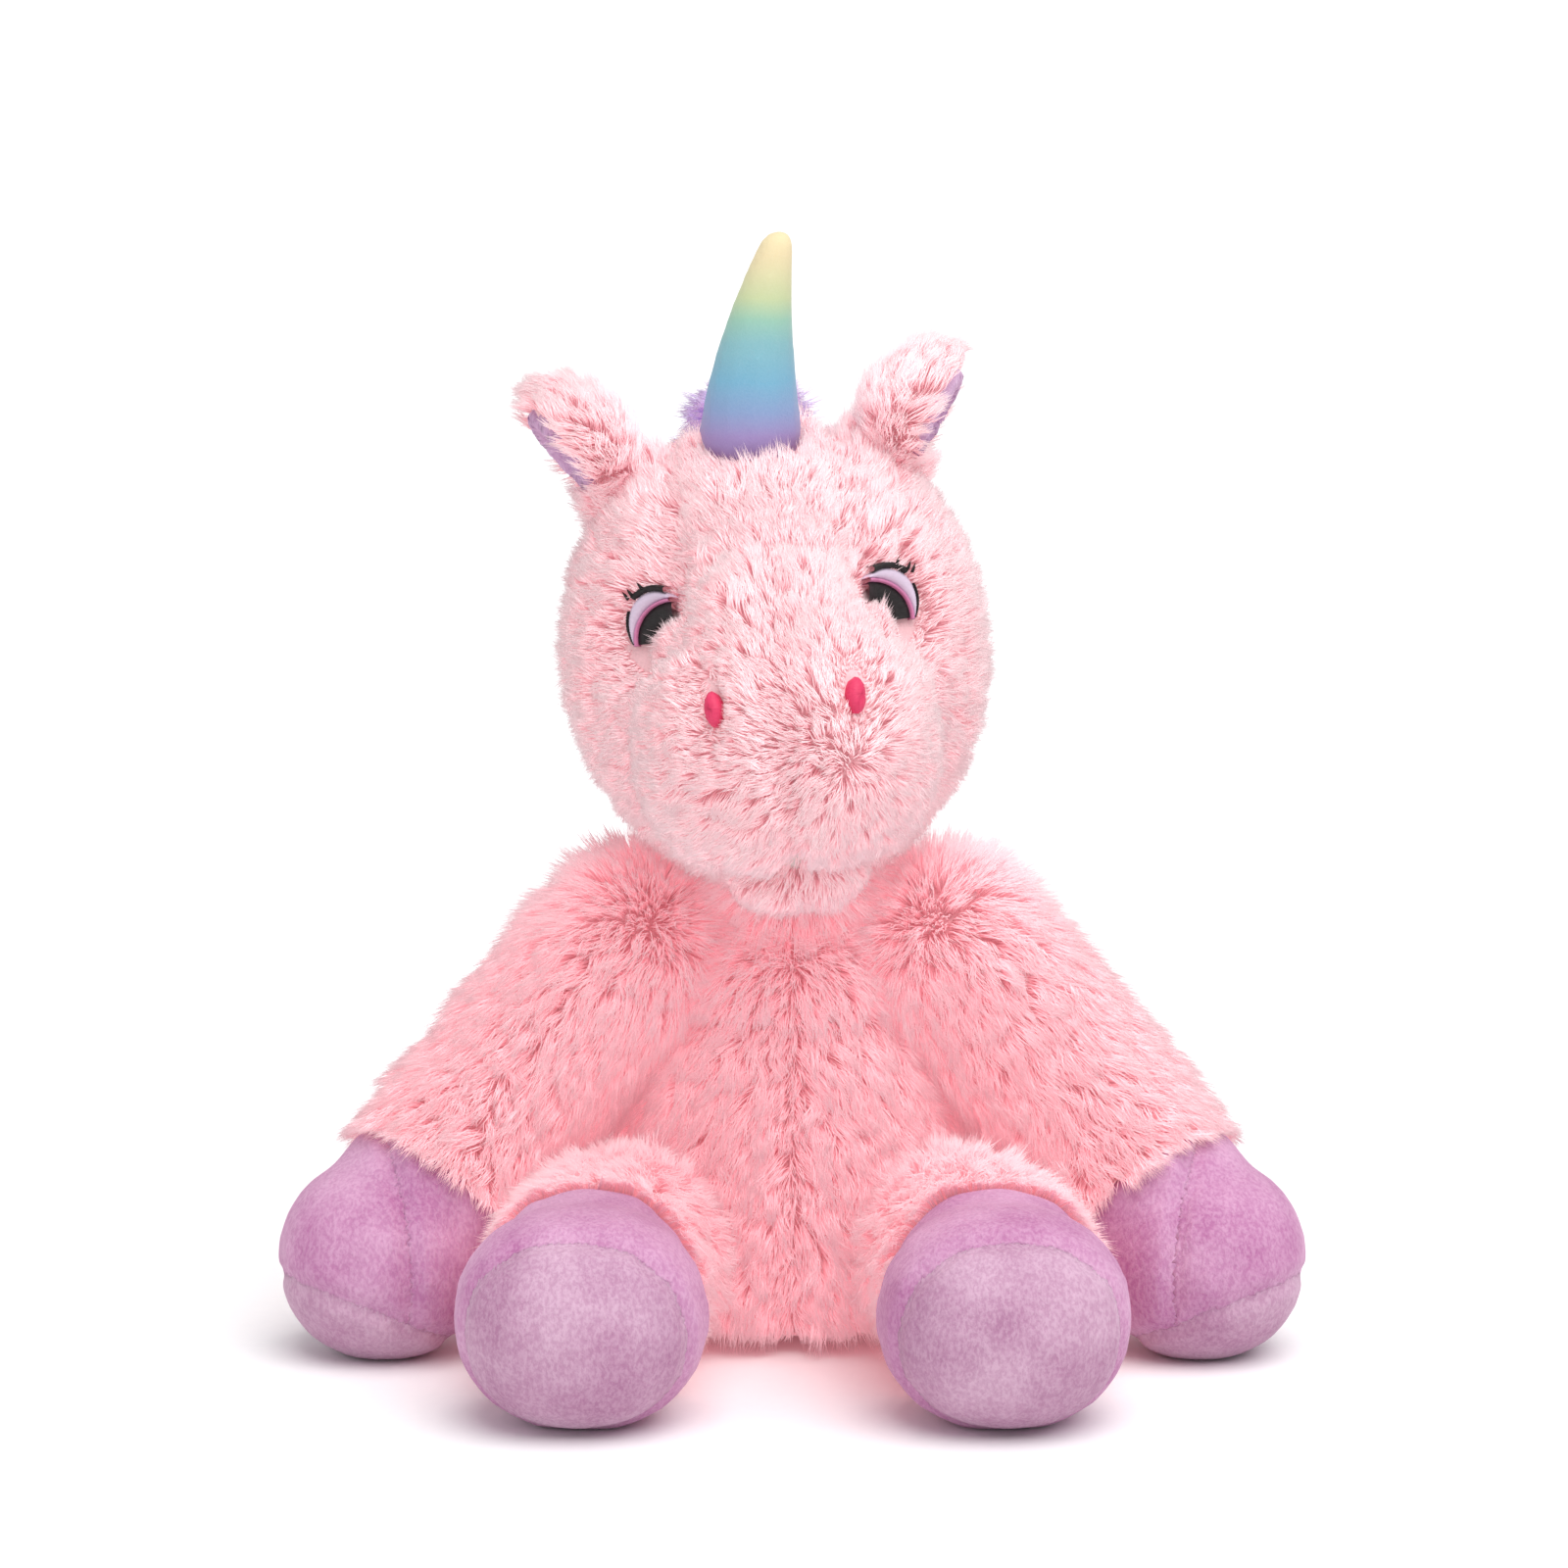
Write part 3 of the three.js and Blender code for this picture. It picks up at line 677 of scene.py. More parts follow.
def strand_piece(name, lines, ups, radius, tones, cover):
    """A mesh of strands, each with rings and a tip, whose OFBake map runs up the strand."""
    count = len(lines)
    rings = len(RINGS)
    forward = unit(np.diff(lines, axis=1))
    side = unit(np.cross(forward, ups[:, None, :] + 1e-3))
    lift = np.cross(side, forward)
    turn = np.arange(CORNERS) * 2 * math.pi / CORNERS
    widths = radius * np.linspace(1.0, 0.8, rings)
    ring = (
        side[:, :, None, :] * np.cos(turn)[None, None, :, None]
        + lift[:, :, None, :] * np.sin(turn)[None, None, :, None]
    )
    body = lines[:, :rings, None, :] + ring * widths[None, :, None, None]
    points = np.concatenate([body.reshape(count, -1, 3), lines[:, rings:, :]], axis=1)
    per = rings * CORNERS + 1

    quads, quad_map = [], []
    step = 0.02 / CORNERS
    for k in range(rings - 1):
        for j in range(CORNERS):
            m = (j + 1) % CORNERS
            quads += [k * CORNERS + j, k * CORNERS + m, (k + 1) * CORNERS + m, (k + 1) * CORNERS + j]
            quad_map += [(j, RINGS[k]), (j + 1, RINGS[k]), (j + 1, RINGS[k + 1]), (j, RINGS[k + 1])]
    tips, tip_map = [], []
    last = (rings - 1) * CORNERS
    for j in range(CORNERS):
        tips += [last + j, last + (j + 1) % CORNERS, per - 1]
        tip_map += [(j, RINGS[-1]), (j + 1, RINGS[-1]), (j + 0.5, 1.0)]
    tips += [2, 1, 0]
    tip_map += [(0, 0.0), (3, 0.0), (1.5, 0.03)]
    loops = np.array(quads + tips)
    flat = np.array(quad_map + tip_map)
    starts = np.concatenate([np.arange(0, len(quads), 4), len(quads) + np.arange(0, len(tips), 3)])

    shift = np.arange(count)[:, None]
    mesh = bpy.data.meshes.new(name)
    mesh.vertices.add(count * per)
    mesh.vertices.foreach_set("co", points.ravel())
    mesh.loops.add(count * len(loops))
    mesh.loops.foreach_set("vertex_index", (loops[None, :] + shift * per).ravel().astype(np.int32))
    mesh.polygons.add(count * len(starts))
    mesh.polygons.foreach_set("loop_start", (starts[None, :] + shift * len(loops)).ravel().astype(np.int32))
    mesh.polygons.foreach_set("use_smooth", np.ones(count * len(starts), bool))
    mesh.update(calc_edges=True)
    chart = mesh.uv_layers.new(name="OFBake")
    places = np.empty((count, len(loops), 2))
    places[:, :, 0] = tones[:, None] * 0.98 + flat[None, :, 0] * step
    places[:, :, 1] = flat[None, :, 1]
    chart.data.foreach_set("uv", places.ravel())
    mesh.materials.append(cover)
    return new_object(name, mesh)


def dress(names, skin, body, coats, pile, cloth, seed):
    """Backing and pile on each named panel of a skin. coats gives each panel's coat."""
    points, faces, normals, owner, to_seam = skin
    for index, name in enumerate(names):
        mine = faces[owner == index]
        if not len(mine):
            raise RuntimeError(f"{name} has no skin")
        some, those = cut_out(points, mine)
        backing = mesh_piece(f"{name}_backing", some, those, cloth, thickness=BACKING)
        finish_piece(backing, body, (name,))
        for hair in grow(f"{name}_pile", points, mine, normals, to_seam, coats(name), pile, seed + index):
            finish_piece(hair, body)


def furry(names, points, faces, body, coats, pile, cloth, seed, pull=1.6 * MM):
    """A furred skin that its seams pull in."""
    owner, _, to_seam = panels_of(points, faces, names)
    normals = vertex_normals(points, faces)
    pinch = pull * np.exp(-((to_seam / PULL_WIDTH) ** 2))
    points = points - normals * pinch[:, None]
    dress(names, (points, faces, normals, owner, to_seam), body, coats, pile, cloth, seed)


# ---------------------------------------------------------------- stuffing


LUMPS = 5  # waves that make the filling's lumps
LUMP_SIZE = 9 * MM


def lumpy(node, body, cover, voxel=4 * MM, inset=0.8 * MM, seed=1):
    """Loose filling: the CAD solid's room, with lumps, drawn in a little from the skin."""
    points, faces = soft_form((node,), voxel, 4, inset)
    normals = vertex_normals(points, faces)
    rng = np.random.default_rng(seed)
    waves = rng.normal(0, 1, (LUMPS, 3)) / LUMP_SIZE
    turns = rng.uniform(0, 6, LUMPS)
    lumps = sum(np.sin(points @ wave + turn) for wave, turn in zip(waves, turns)) / LUMPS
    points = points + normals * (lumps[:, None] * 0.9 - 0.5) * MM
    piece = mesh_piece(f"{node}_filling", points, faces, cover)
    return finish_piece(piece, body, (node,))


# ---------------------------------------------------------------- parts


def fur_settings():
    return bpy.context.scene.plush_fur


def body_pile():
    fur = fur_settings()
    # the last colour is the body pile's painted glow, emission that lifts its shade
    return material("body_pile", pile_material, fur.body_root, fur.body_tip, (1.0, 0.42, 0.48))


def body_cloth():
    # painted shade: the backing takes the root colour and is darker still, as shade at the bottom of the pile
    return material("body_backing", backing_material, darker(fur_settings().body_root, 0.1))


def head_pile():
    fur = fur_settings()
    # the last colour is the head pile's painted glow, emission that lifts its shade
    return material("head_pile", pile_material, fur.head_root, fur.head_tip, (0.75, 0.27, 0.32))


def head_cloth():
    # painted shade: the backing takes the root colour and is darker still, as shade at the bottom of the pile
    return material("head_backing", backing_material, darker(fur_settings().head_root, 0.1))


BODY_INSET = 2.0 * MM  # from the CAD skin to the cloth that the body's pile grows from
HOOF_INSET = -2.2 * MM
BODY_CLUMP = 0.3
SEAT_SHARE = 0.35  # of the body pile's length, on the seat
PARTING, PARTING_REACH = 0.3, 14 * MM  # how far the pile turns from the front's centre seam, and how far out
GATHER_REACH = 26 * MM  # how far the pile stands up round a gathered opening
COLLAR_STAND = 0.8
SHOULDER_STAND = 0.7
SHOULDER_BEHIND = 10 * MM  # how far behind a leg's pivot its gathers begin
SAG = 0.12  # how much the legs' pile turns down
FLOOR_TRIM = (12 * MM, 0.2)  # under this height pile is shorter, down to this share


def make_torso():
    fur = fur_settings()
    points, faces = soft_form(TORSO_PANELS + ("torso_stuffing",), 3.2 * MM, 6, BODY_INSET)
    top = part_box("chest_yoke")[1].z

    def down(roots):
        flow = np.tile([0.0, 0.0, -1.0], (len(roots), 1))
        parting = np.exp(-np.abs(roots[:, 0]) / PARTING_REACH)
        flow[:, 0] = np.sign(roots[:, 0]) * PARTING * parting
        return flow

    def collar(roots):
        """The gathered pile round the neck stands out."""
        return np.clip(1 - (top - roots[:, 2]) / GATHER_REACH, 0, 1) * COLLAR_STAND

    def coats(name):
        length = fur.body_length * (SEAT_SHARE if name == "seat_panel" else 1.0)
        return Coat(length, fur.density, down, clump=BODY_CLUMP, trim=above_floor, stand=collar)

    furry(TORSO_PANELS, points, faces, "torso", coats, body_pile(), body_cloth(), 100)


def above_floor(roots):
    """Pile is short where the toy rests on it."""
    return np.clip(roots[:, 2] / FLOOR_TRIM[0], FLOOR_TRIM[1], 1.0)


def limb_axis(name, body_joint):
    """From a leg's pivot towards its sole."""
    pivot = Vector(JOINTS[body_joint]["pos_m"])
    return pivot, (middle(f"{name}_hoof_sole") - pivot).normalized()


def make_leg(kind, word, root, hoof_parts, seed):
    fur = fur_settings()
    name = f"{kind}_leg_{word}"
    sleeves = (f"{name}_sleeve_outer", f"{name}_sleeve_inner")
    hooves = tuple(f"{name}_hoof_{part}" for part in hoof_parts)
    joint = f"{name}_swing" if kind == "front" else f"{name}_lift"
    pivot, axis = limb_axis(name, joint)
    points, faces = soft_form(sleeves + hooves + (f"{name}_stuffing", root), 2.6 * MM, 6, 0.0)
    owner, nearest, to_seam = panels_of(points, faces, sleeves + hooves)
    normals = vertex_normals(points, faces)
    furred = nearest < len(sleeves)
    points = points - normals * np.where(furred, BODY_INSET, HOOF_INSET)[:, None]
    points = eased(points, faces, 2)

    way, start = np.array(axis), np.array(pivot)

    def outward(roots):
        return np.tile(way + [0, 0, -SAG], (len(roots), 1))

    def shoulder(roots):
        """Pile stands up where the leg is gathered into the body."""
        along = (roots - start) @ way + SHOULDER_BEHIND
        return np.clip(1 - along / GATHER_REACH, 0, 1) * SHOULDER_STAND

    def coats(_):
        length = fur.body_length
        return Coat(length, fur.density, outward, clump=BODY_CLUMP, trim=above_floor, stand=shoulder)

    skin = (points, faces, normals, owner, to_seam)
    dress(sleeves, skin, name, coats, body_pile(), body_cloth(), seed)
    make_hoof(name, points, faces, owner, hooves, len(sleeves))


def eased(points, faces, rounds):
    """A few rounds of smoothing, which take the step out between two insets."""
    edges = np.concatenate([faces[:, :2], faces[:, 1:], faces[:, ::2]])
    edges = np.unique(np.sort(edges, axis=1), axis=0)
    degree = np.bincount(edges.ravel(), minlength=len(points)).clip(1)[:, None]
    for _ in range(rounds):
        total = np.zeros_like(points)
        np.add.at(total, edges[:, 0], points[edges[:, 1]])
        np.add.at(total, edges[:, 1], points[edges[:, 0]])
        points = points * 0.5 + total / degree * 0.5
    return points


def make_hoof(name, points, faces, owner, hooves, first):
    """Velour panels over a plump hoof: inflated as cloth, then drawn in along their seams."""
    velour = bpy.context.scene.plush_velour
    is_hoof = owner >= first
    some, those = cut_out(points, faces[is_hoof])
    some, those = inflated(f"{name}_hoof", some, those)
    fine = mesh_piece("fine", some, those, None, rounds=1)
    some, those = corners_and_faces(fine.data)
    bpy.data.objects.remove(fine)
    mine, _, to_seam = panels_of(some, those, hooves)
    normals = vertex_normals(some, those)
    groove = velour.seam_depth * np.exp(-((to_seam / velour.seam_width) ** 2))
    some = some - normals * groove[:, None]
    some[:, 2] = np.maximum(some[:, 2], ON_FLOOR)
    for index, hoof in enumerate(hooves):
        sole = hoof.endswith("sole")
        colour = velour.sole if sole else velour.hoof
        cover = material("sole_velour" if sole else "hoof_velour", velour_material, tuple(colour))
        patch, panel = cut_out(some, those[mine == index])
        piece = mesh_piece(hoof, patch, panel, cover, thickness=0.8 * MM)
        piece.name = f"{hoof}_velour"
        finish_piece(piece, name, (hoof,))


def inflated(name, points, faces, pressure=4.0, limit=2.2 * MM, frames=20):
    """The skin blown up as cloth, its open edge held, with each point's movement capped."""
    edges = np.sort(np.concatenate([faces[:, :2], faces[:, 1:], faces[:, ::2]]), axis=1)
    kinds, uses = np.unique(edges, axis=0, return_counts=True)
    rim = np.unique(kinds[uses == 1])
    mesh = bpy.data.meshes.new(name)
    mesh.from_pydata(points.tolist(), [], faces.tolist())
    thing = new_object(name, mesh)
    held = thing.vertex_groups.new(name="held")
    held.add(rim.tolist(), 1.0, "REPLACE")
    cloth = thing.modifiers.new("Cloth", "CLOTH")
    cloth.settings.quality = 5
    cloth.settings.mass = 0.2
    cloth.settings.use_pressure = True
    cloth.settings.uniform_pressure_force = pressure
    cloth.settings.tension_stiffness = 12
    cloth.settings.compression_stiffness = 12
    cloth.settings.vertex_group_mass = "held"
    cloth.settings.effector_weights.gravity = 0.0
    cloth.collision_settings.use_collision = False
    scene = bpy.context.scene
    for step in range(1, frames + 1):
        scene.frame_set(step)
    graph = bpy.context.evaluated_depsgraph_get()
    blown = np.empty(len(points) * 3)
    thing.evaluated_get(graph).data.vertices.foreach_get("co", blown)
    bpy.data.objects.remove(thing)
    scene.frame_set(1)
    move = blown.reshape(-1, 3) - points
    far = np.linalg.norm(move, axis=1, keepdims=True)
    return points + move * np.minimum(1, limit / np.maximum(far, 1e-9)), faces


def head_axes():
    """The head's own across, up and forward directions, from its two eyes and the horn."""
    across = (middle("eye_left") - middle("eye_right")).normalized()
    up = (middle("horn_cover") - middle("chin_panel")).normalized()
    forward = across.cross(up).normalized() * -1
    if forward.y > 0:
        forward = -forward
    up = forward.cross(across).normalized()
    if up.z < 0:
        up = -up
    return across, up, forward


EYE_IN, EYE_DOWN = 2.5 * MM, 3.0 * MM  # from the eye node's middle to the middle of the stitched eye
EYE_RADII = (7.8 * MM, 9.4 * MM)
PUPIL_IN, PUPIL_DOWN = 5.5 * MM, 4.6 * MM  # from the middle of the eye to the middle of its pupil
PUPIL_RADIUS = 11.3 * MM
PUPIL_SHOWN = 7.8 * MM  # nearer its middle than this, the pile covers the pupil
EYE_TRIM = (0.9 * MM, 7 * MM)  # pile starts inside an eye's edge and is full this far from there
EYE_BACK = 16 * MM  # behind the eyes by more than this nothing is trimmed for them
NOSTRIL_RADII = (1.95 * MM, 4.5 * MM)
NOSTRIL_TRIM = 2.8  # nostril radii from its rim to full pile
NOSTRIL_DEPTH = 14 * MM


def eye_centre(word, side):
    across, up, _ = head_axes()
    return middle(f"eye_{word}") - across * side * EYE_IN - up * EYE_DOWN


def pupil_centre(word, side):
    across, up, _ = head_axes()
    return eye_centre(word, side) - across * side * PUPIL_IN - up * PUPIL_DOWN


def face_trim(roots):
    """Pile is cut away where the eyes and nostrils are stitched, and is short beside them."""
    across, up, _ = (np.array(axis) for axis in head_axes())
    keep = np.ones(len(roots))
    front = roots[:, 1] < middle("eye_left").y + EYE_BACK
    for word, side in SIDES:
        at = roots - np.array(eye_centre(word, side))
        rim = np.hypot(at @ across * side / EYE_RADII[0], at @ up / EYE_RADII[1])
        at = roots - np.array(pupil_centre(word, side))
        inside = PUPIL_SHOWN - np.hypot(at @ across, at @ up)
        outside = (rim - 1.0) * EYE_RADII[0]
        gap = np.maximum(inside, outside)
        near = np.clip((gap + EYE_TRIM[0]) / EYE_TRIM[1], 0, 1)
        keep = np.where(front, keep * near, keep)
        at = roots - np.array(middle(f"nostril_{word}"))
        rim = np.hypot(at @ across / NOSTRIL_RADII[0], at @ up / NOSTRIL_RADII[1])
        clear = np.clip((rim - 1.0) / NOSTRIL_TRIM, 0, 1)
        keep = keep * np.where(np.abs(at[:, 1]) < NOSTRIL_DEPTH, clear, 1.0)
    return keep


EYE_HOLLOW = (5.0 * MM, 15.0 * MM)  # how deep the face is pulled in round an eye, and how far round
MUZZLE_PUFF = (5.0 * MM, 30.0 * MM)  # how far the stuffing pushes the muzzle out, and how wide
MOUTH_PINCH = (5.5 * MM, 4.5 * MM)  # how deep the mouth's seam is pulled, and how wide


def swell(points, place, depth, reach):
    """Points near a place moved forward, or back if the depth is below zero."""
    far = np.linalg.norm(points - np.array(place), axis=1)
    move = depth * np.exp(-((far / reach) ** 2))
    return points + np.outer(move, np.array(head_axes()[2]))


def head_skin(inset):
    """The head's skin, with hollows for the eyes, a full muzzle, and the mouth's seam drawn in."""
    points, faces = soft_form(HEAD_PANELS + ("head_stuffing",), 3.0 * MM, 6, inset)
    for word, side in SIDES:
        points = swell(points, eye_centre(word, side), -EYE_HOLLOW[0], EYE_HOLLOW[1])
        points = swell(points, middle(f"nostril_{word}"), *MUZZLE_PUFF)
    chin = tree_of("chin_panel")
    lips = [tree_of(name) for name in ("muzzle_left", "muzzle_right")]
    below = np.array([chin.find_nearest(point)[3] for point in points.tolist()])
    above = np.array([min(lip.find_nearest(point)[3] for lip in lips) for point in points.tolist()])
    at_mouth = np.exp(-(((below + above) / MOUTH_PINCH[1]) ** 2))
    points = points - vertex_normals(points, faces) * (at_mouth * MOUTH_PINCH[0])[:, None]
    return points, faces


WHORL = Vector((14 * MM, 2 * MM, -15 * MM))  # from between the nostrils to where the face's pile starts
FACE_SHARE = 0.85  # of the head pile's length, on the muzzle
HEAD_DENSITY = 1.35
HEAD_PULL = 3 * MM


def make_head():
    fur = fur_settings()
    points, faces = head_skin(1.6 * MM)
    nose = (middle("nostril_left") + middle("nostril_right")) / 2
    whorl = np.array(nose + WHORL)

    def from_nose(roots):
        return unit(roots - whorl) + [0, 0.2, -0.15]

    def coats(name):
        length = fur.head_length * (FACE_SHARE if name in FACE_PANELS else 1.0)
        density = fur.density * HEAD_DENSITY
        return Coat(length, density, from_nose, clump=0.28, stray=0.34, trim=face_trim, thickness=0.9)

    pile, cloth = head_pile(), head_cloth()
    furry(HEAD_PANELS, points, faces, "head", coats, pile, cloth, 200, pull=HEAD_PULL)


def make_neck():
    """The furry gathered neck that shows between the head and the chest."""
    fur = fur_settings()
    points, faces = soft_form(("neck_fill",), 2.6 * MM, 3, -0.5 * MM)
    normals = vertex_normals(points, faces)
    far = np.full(len(points), 1.0)
    backing = mesh_piece("neck_backing", points, faces, body_cloth())
    finish_piece(backing, "neck", ())
    coat = Coat(
        fur.body_length * 1.2,
        fur.density,
        lambda roots: np.tile([0, 0, -1.0], (len(roots), 1)),
        stand=evenly(0.6),
    )
    for hair in grow("neck_pile", points, faces, normals, far, coat, body_pile(), 60):
        finish_piece(hair, "neck")


EAR_DENSITY = 1.6
CUP_CLEAR = 2.6 * MM  # no pile grows nearer the lining than this


def make_ear(word, seed):
    fur = fur_settings()
    velour = bpy.context.scene.plush_velour
    body = f"ear_{word}"
    outer, lining = f"ear_{word}_outer", f"ear_{word}_lining"
    pivot = Vector(JOINTS[f"ear_{word}_fold"]["pos_m"])
    way = np.array((middle(outer) - pivot).normalized())
    points, faces = soft_form((outer,), 1.5 * MM, 5, -1.4 * MM)
    tree = tree_of(lining)
    near = np.array([tree.find_nearest(point)[3] for point in points.tolist()])
    cupped = near[faces].mean(1) < CUP_CLEAR
    normals = vertex_normals(points, faces)
    backing = mesh_piece(f"{outer}_backing", points, faces, head_cloth())
    finish_piece(backing, body, (outer,))

    def tipward(roots):
        return np.tile(way, (len(roots), 1))

    coat = Coat(fur.ear_length, fur.density * EAR_DENSITY, tipward, clump=0.35, stray=0.35, thickness=0.9)
    for hair in grow(f"{outer}_pile", points, faces[~cupped], normals, near, coat, head_pile(), seed):
        finish_piece(hair, body)
    some, those = soft_form((lining,), 0.7 * MM, 4, -2.2 * MM)
    cover = material("lining_velour", velour_material, tuple(velour.lining))
    finish_piece(mesh_piece(f"{lining}_velour", some, those, cover), body, (lining,))


HORN_SUNK = 6 * MM  # how far the cover goes down into the head's pile


def make_horn():
    points, faces = soft_form(("horn_cover", "horn_stuffing"), 1.5 * MM, 5, -0.4 * MM)
    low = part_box("horn_cover")[0][2] - HORN_SUNK
    mine = faces[points[faces][:, :, 2].min(1) > low]
    some, those = cut_out(points, mine)
    cover = material("horn_velour", horn_material)
    piece = mesh_piece("horn_velour_cover", some, those, cover, thickness=1.0 * MM, rounds=1)
    finish_piece(piece, "horn", ("horn_cover",))


MANE_DENSITY = 1.3


def evenly(share):
    """The same share for each root."""
    return lambda roots: np.full(len(roots), share)


def make_tufts(node, body, flow, length, seed, trim=None):
    fur = fur_settings()
    points, faces = soft_form((node,), 2.2 * MM, 5, 1.5 * MM)
    normals = vertex_normals(points, faces)
    # painted shade: the backing takes the mane's root colour and is darker still, as shade at the bottom of
    # the pile
    cloth = material("mane_backing", backing_material, darker(fur.mane_root, 0.1))
    # the last colour is the mane's painted glow, emission that lifts its shade
    pile = material("mane_pile", pile_material, fur.mane_root, fur.mane_tip, (0.35, 0.20, 0.55))
    finish_piece(mesh_piece(f"{node}_backing", points, faces, cloth), body, (node,))
    density = fur.density * MANE_DENSITY
    coat = Coat(length, density, flow, clump=0.6, stray=0.6, trim=trim, stand=evenly(0.25))
    seamless = np.full(len(points), 1.0)
    for hair in grow(f"{node}_pile", points, faces, normals, seamless, coat, pile, seed):
        finish_piece(hair, body)


# ---------------------------------------------------------------- embroidery


THREAD = 0.38 * MM  # from one stitch to the next
STITCH_RIDGE = 0.14 * MM
# Rings of a stitched patch: the share of the way from its inner to its outer edge, and the share of
# its height, or millimetres under the skin where that is below zero.
BAND_RINGS = ((0.0, -2.2), (0.0, 0.3), (0.25, 0.9), (0.75, 0.9), (1.0, 0.3), (1.0, -2.2))
DOME_RINGS = ((0.0, 1.0), (0.45, 0.97), (0.8, 0.75), (1.0, 0.3), (1.0, -2.2))


def on_face(surface, place):
    """Where a line along Y through a place meets the face, and the face's normal there."""
    start = Vector((place.x, CAD_BOX[0][1] - 0.1, place.z))
    hit, normal, _, _ = surface.ray_cast(start, Vector((0, 1, 0)))
    if hit is None:
        raise RuntimeError("a stitch misses the face")
    return hit, normal


def stitched(name, centre, across, up, bands, surface, node, rings=BAND_RINGS):
    """Satin stitch in bands round a centre, laid on the face.

    Each band is (near, far, first degree, last degree, height, material). near and far are distances
    from the centre, or functions of the turn that give them. Degrees run from straight out, over the top.
    """
    points, faces, covers, slots = [], [], [], []
    for near, far, first, last, height, cover in bands:
        if cover not in slots:
            slots.append(cover)
        reach = far(math.radians((first + last) / 2)) if callable(far) else far
        steps = max(int(math.radians(last - first) * reach / THREAD), 3)
        start = len(points)
        for share, lift in rings:
            for s in range(steps + 1):
                turn = math.radians(first + (last - first) * s / steps)
                inner = near(turn) if callable(near) else near
                outer = max(far(turn) if callable(far) else far, inner)
                size = inner + (outer - inner) * share
                place = centre + across * math.cos(turn) * size + up * math.sin(turn) * size
                hit, normal = on_face(surface, place)
                rise = height * max(lift, 0) + min(lift, 0) * MM + STITCH_RIDGE * (s % 2)
                points.append(hit + normal * rise)
        row = steps + 1
        for k in range(len(rings) - 1):
            for s in range(steps):
                a = start + k * row + s
                faces.append((a, a + 1, a + row + 1, a + row))
                covers.append(slots.index(cover))
    mesh = bpy.data.meshes.new(name)
    mesh.from_pydata([tuple(point) for point in points], [], faces)
    mesh.polygons.foreach_set("use_smooth", [True] * len(faces))
    mesh.polygons.foreach_set("material_index", covers)
    for cover in slots:
        mesh.materials.append(cover)
    return finish_piece(new_object(name, mesh), "head", (node,))


def oval(radii):
    """The distance from an oval's middle to its rim, for each turn."""
    return lambda turn: 1 / math.hypot(math.cos(turn) / radii[0], math.sin(turn) / radii[1])


def eye_rim(grow=0.0):
    """The distance from the pupil's middle to the eye's rim, for each turn."""
    wide, high = EYE_RADII[0] + grow, EYE_RADII[1] + grow

    def rim(turn):
        x, z = math.cos(turn), math.sin(turn)
        a = (x / wide) ** 2 + (z / high) ** 2
        b = -2 * (x * PUPIL_IN / wide**2 + z * PUPIL_DOWN / high**2)
        c = (PUPIL_IN / wide) ** 2 + (PUPIL_DOWN / high) ** 2 - 1
        return (-b + math.sqrt(max(b * b - 4 * a * c, 0))) / (2 * a)

    return rim


def make_face():
    """Half-open embroidered eyes with lashes, and two nostrils."""
    across, up, _ = head_axes()
    points, faces = head_skin(0.4 * MM)
    surface = BVHTree.FromPolygons(points.tolist(), faces.tolist())
    black = material("black_thread", thread_material, (0.008, 0.005, 0.006))
    white = material("white_thread", thread_material, (0.80, 0.66, 0.83))
    pink = material("pink_thread", thread_material, (0.72, 0.24, 0.46))
    magenta = material("magenta_thread", thread_material, (0.86, 0.045, 0.15))
    rim, line, lash = eye_rim(), eye_rim(0.4 * MM), eye_rim(1.7 * MM)
    for word, side in SIDES:
        outward = across * side
        pupil = pupil_centre(word, side)
        bands = (
            (PUPIL_SHOWN - 1.0 * MM, PUPIL_RADIUS, -2, 84, 0.8 * MM, black),
            (PUPIL_RADIUS, PUPIL_RADIUS + 1.0 * MM, -4, 84, 1.3 * MM, pink),
            (PUPIL_RADIUS + 1.0 * MM, rim, -4, 84, 1.1 * MM, white),
            (rim, lash, 47, 80, 1.6 * MM, black),
            (rim, line, -2, 34, 1.3 * MM, black),
        )
        stitched(f"eye_{word}_thread", pupil, outward, up, bands, surface, f"eye_{word}")
        make_lashes(word, pupil, outward, up, lash, surface, black)
        spot = middle(f"nostril_{word}")
        dome = ((0.05 * MM, oval(NOSTRIL_RADII), 0, 360, 2.6 * MM, magenta),)
        node, thread = f"nostril_{word}", f"nostril_{word}_thread"
        stitched(thread, spot, outward, up, dome, surface, node, DOME_RINGS)


LASHES = ((44, 2.6), (49, 2.2), (60, 2.0))  # degrees round the pupil, and length in millimetres


def make_lashes(word, pupil, outward, up, rim, surface, cover):
    """Short stitched flicks at the outer end of the lash line."""
    lines = []
    for degrees, length in LASHES:
        turn = math.radians(degrees)
        root = pupil + (outward * math.cos(turn) + up * math.sin(turn)) * (rim(turn) - 0.5 * MM)
        way = (outward * 0.55 + up).normalized()
        places = []
        for share in (*RINGS, 1.0):
            hit, normal = on_face(surface, root + way * length * MM * share)
            places.append(tuple(hit + normal * 1.6 * MM))
        lines.append(places)
    ups = np.tile([0.0, -1.0, 0.0], (len(lines), 1))
    tones = np.full(len(lines), 0.5)
    piece = strand_piece(f"eye_{word}_lashes", np.array(lines), ups, 0.6 * MM, tones, cover)
    finish_piece(piece, "head")


# ---------------------------------------------------------------- stage

VIEW_DISTANCE = 1.4
VIEW_ELEVATION = math.radians(9.5)
VIEW_TARGET = Vector((-2.2 * MM, 0.0, 148 * MM))
LENS = 118.5


FLOOR_HALF = 60.0
FLOOR_LEVEL = -0.3 * MM
ROOM_LIGHT = 0.52
KEY_ANGLE = math.radians(60)
FILL_SIZE = 1.4
LAMPS = (
    ("key", "SUN", (0.35, -0.50, 1.35), 2.8),
    ("fill", "AREA", (-1.2, -1.1, 0.7), 3.0),
)


